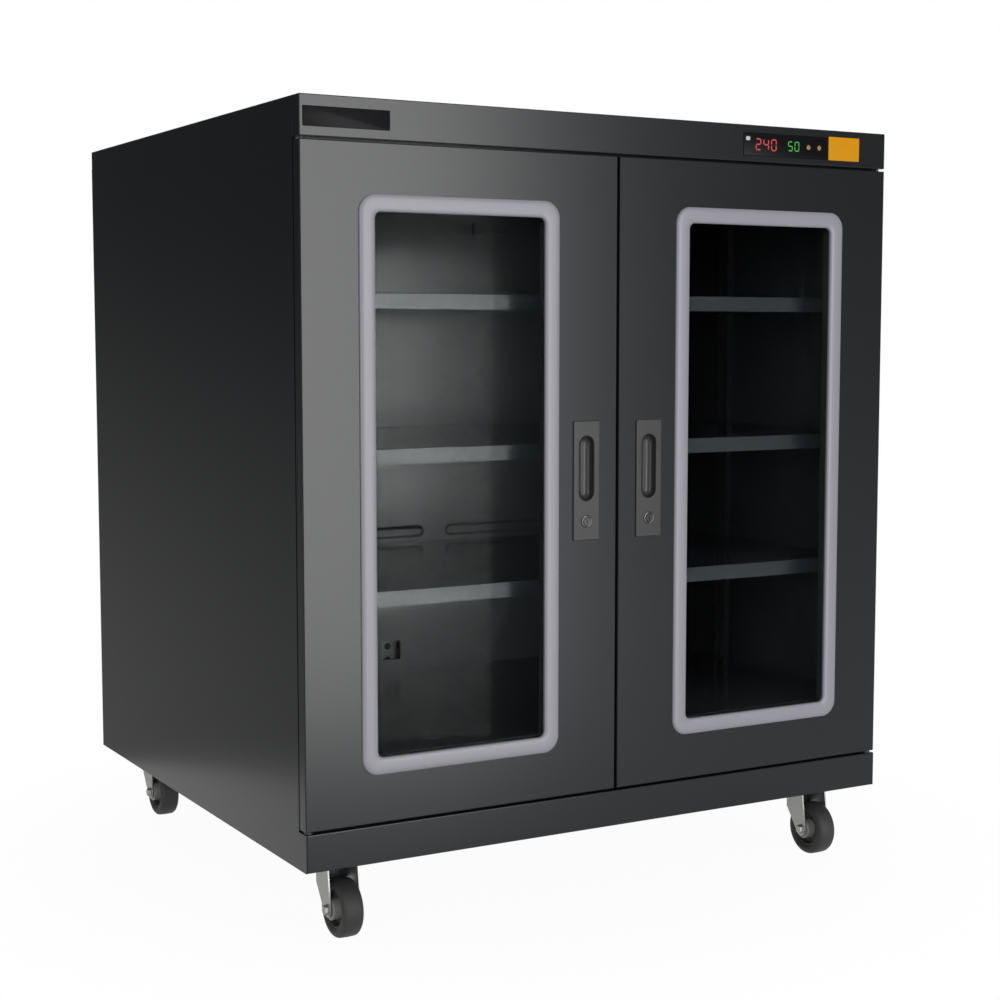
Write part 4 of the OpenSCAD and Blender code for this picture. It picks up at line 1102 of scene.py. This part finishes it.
def floor_finish():
    """White that keeps part of the shadow near the middle and none at the rim.

    The share of plain white goes up in line with the distance from the middle.
    """
    material, tree, shader = new_finish("white floor")
    settle(shader, Base_Color=FLOOR_WHITE, Roughness=0.9)
    glow = node(tree, "ShaderNodeEmission", Strength=1.0)
    place = node(tree, "ShaderNodeTexCoord")
    length = node(tree, "ShaderNodeVectorMath", operation="LENGTH")
    fade = node(tree, "ShaderNodeMapRange", From_Min=FLOOR_R * FADE_START,
                From_Max=FLOOR_R * FADE_END, To_Min=1 - FLOOR_SHADE, To_Max=1.0)
    factor = node(tree, "ShaderNodeMath", operation="MULTIPLY")
    wire(tree, (place.outputs["Object"], length.inputs[0]),
         (length.outputs["Value"], fade.inputs["Value"]),
         (rays(tree, *SEEING_RAYS), factor.inputs[0]),
         (fade.outputs["Result"], factor.inputs[1]))
    end_in_mix(tree, factor.outputs["Value"], shader.outputs["BSDF"], glow.outputs["Emission"])
    return material


def stage_piece(name, points, faces, finish):
    """A plain mesh that belongs to the studio and not to the cabinet."""
    mesh = bpy.data.meshes.new(name)
    mesh.from_pydata(points, [], faces)
    piece = put(name, mesh, finish)
    return piece


floor_points = placed(FLOOR_R * circle(FLOOR_SIDES), 0, Z)
stage_piece("floor", floor_points.tolist(), [list(range(FLOOR_SIDES))], floor_finish())
print("floor of", FLOOR_R, "m")

# %% [markdown]
# ## The world
# What can be seen of the world is plain white, and the light it gives is weaker than that, so
# that dark paint stays dark.

# %% World
WORLD_LEVEL = 0.40
WHITE = (1, 1, 1, 1)
world = bpy.data.worlds.new("limbo")
bpy.context.scene.world = world
world.use_nodes = True
world_tree = world.node_tree
dim = settle(world_tree.nodes["Background"], Color=WHITE, Strength=WORLD_LEVEL)
plain = node(world_tree, "ShaderNodeBackground", Color=WHITE, Strength=1.0)
end_in_mix(world_tree, rays(world_tree, *SEEING_RAYS), dim.outputs["Background"],
           plain.outputs["Background"], "World Output")
print("world at", WORLD_LEVEL)

# %% [markdown]
# ## Lamps
# One large softbox, far off to the right of the camera, is mirrored by the paint and gives the
# doors their slow change from light to dark. A weaker fill lamp on the other side lights what the
# softbox leaves dark. A lamp is described by the range of angles that it fills, because that is
# what a glossy door shows of it.

# %% Lamps
LAMP_AWAY = 10.8
DOORS_MIDDLE = Vector((0, -0.54, 0.75))
# Name, range of azimuths, range of elevations, both in degrees, and level
LAMPS = (("softbox", (12.0, 28.3), (-15.0, 18.0), 12.6),
         ("fill_lamp", (-56.0, -32.0), (-4.0, 22.0), 5.5))


def add_lamp(name, azimuths, elevations, level):
    """An area lamp that fills a range of angles, seen from the middle of the doors."""
    azimuth, elevation = radians(sum(azimuths) / 2), radians(sum(elevations) / 2)
    width, height = (2 * LAMP_AWAY * tan(radians(high_angle - low_angle) / 2)
                     for low_angle, high_angle in (azimuths, elevations))
    towards = Vector((cos(elevation) * sin(azimuth), -cos(elevation) * cos(azimuth), sin(elevation)))
    lamp = bpy.data.lights.new(name, "AREA")
    lamp.shape = "RECTANGLE"
    lamp.size, lamp.size_y = width, height
    lamp.energy = level * np.pi * width * height
    placed_lamp = put(name, lamp)
    placed_lamp.location = DOORS_MIDDLE + LAMP_AWAY * towards
    placed_lamp.rotation_euler = towards.to_track_quat("Z", "Y").to_euler()
    print(name, round(width, 2), "x", round(height, 2), "m")


for lamp_facts in LAMPS:
    add_lamp(*lamp_facts)

# %% [markdown]
# ## Graduated cards
# Paint as dark as this shows mostly what it mirrors. So a card stands where the left side panel
# looks, and another where the right part of the doors looks. Both are lighter at the foot than at
# the top, and give these faces their slow change in height. The camera doesn't see them.

# %% Cards
CARD_FOOT, CARD_TOP = -4.0, 9.0
# Name, its two ends on the floor plan, level at the foot and top, and the heights between which
# the one turns into the other
CARDS = (("rear", (-9.0, 6.0), (0.5, 6.0), (0.36, 0.06), (-1.2, 1.9)),
         ("front", (6.2, -10.2), (14.0, -2.0), (1.3, 0.25), (-3.0, 2.2)))


def card_finish(name, levels, heights):
    """Plain grey that goes from one level to the other between two heights, by a smooth step."""
    material, tree, shader = new_finish(name)
    tree.nodes.remove(shader)
    place = node(tree, "ShaderNodeTexCoord")
    split = node(tree, "ShaderNodeSeparateXYZ")
    level = node(tree, "ShaderNodeMapRange", interpolation_type="SMOOTHSTEP", From_Min=heights[0],
                 From_Max=heights[1], To_Min=levels[0], To_Max=levels[1])
    glow = node(tree, "ShaderNodeEmission")
    wire(tree, (place.outputs["Object"], split.inputs[0]),
         (split.outputs["Z"], level.inputs["Value"]),
         (level.outputs["Result"], glow.inputs["Strength"]),
         (glow.outputs["Emission"], tree.nodes["Material Output"].inputs["Surface"]))
    return material


for name, start, end, levels, heights in CARDS:
    corners = [(*start, CARD_FOOT), (*end, CARD_FOOT), (*end, CARD_TOP), (*start, CARD_TOP)]
    card = stage_piece(name + "_card", corners, [[0, 1, 2, 3]],
                       card_finish(f"graduated {name} card", levels, heights))
    card.visible_camera = False
    card.visible_shadow = False
print(len(CARDS), "cards")

# %% [markdown]
# ## View
# The Standard view shows a colour about as it is written.

# %% View settings
bpy.context.scene.view_settings.view_transform = "Standard"
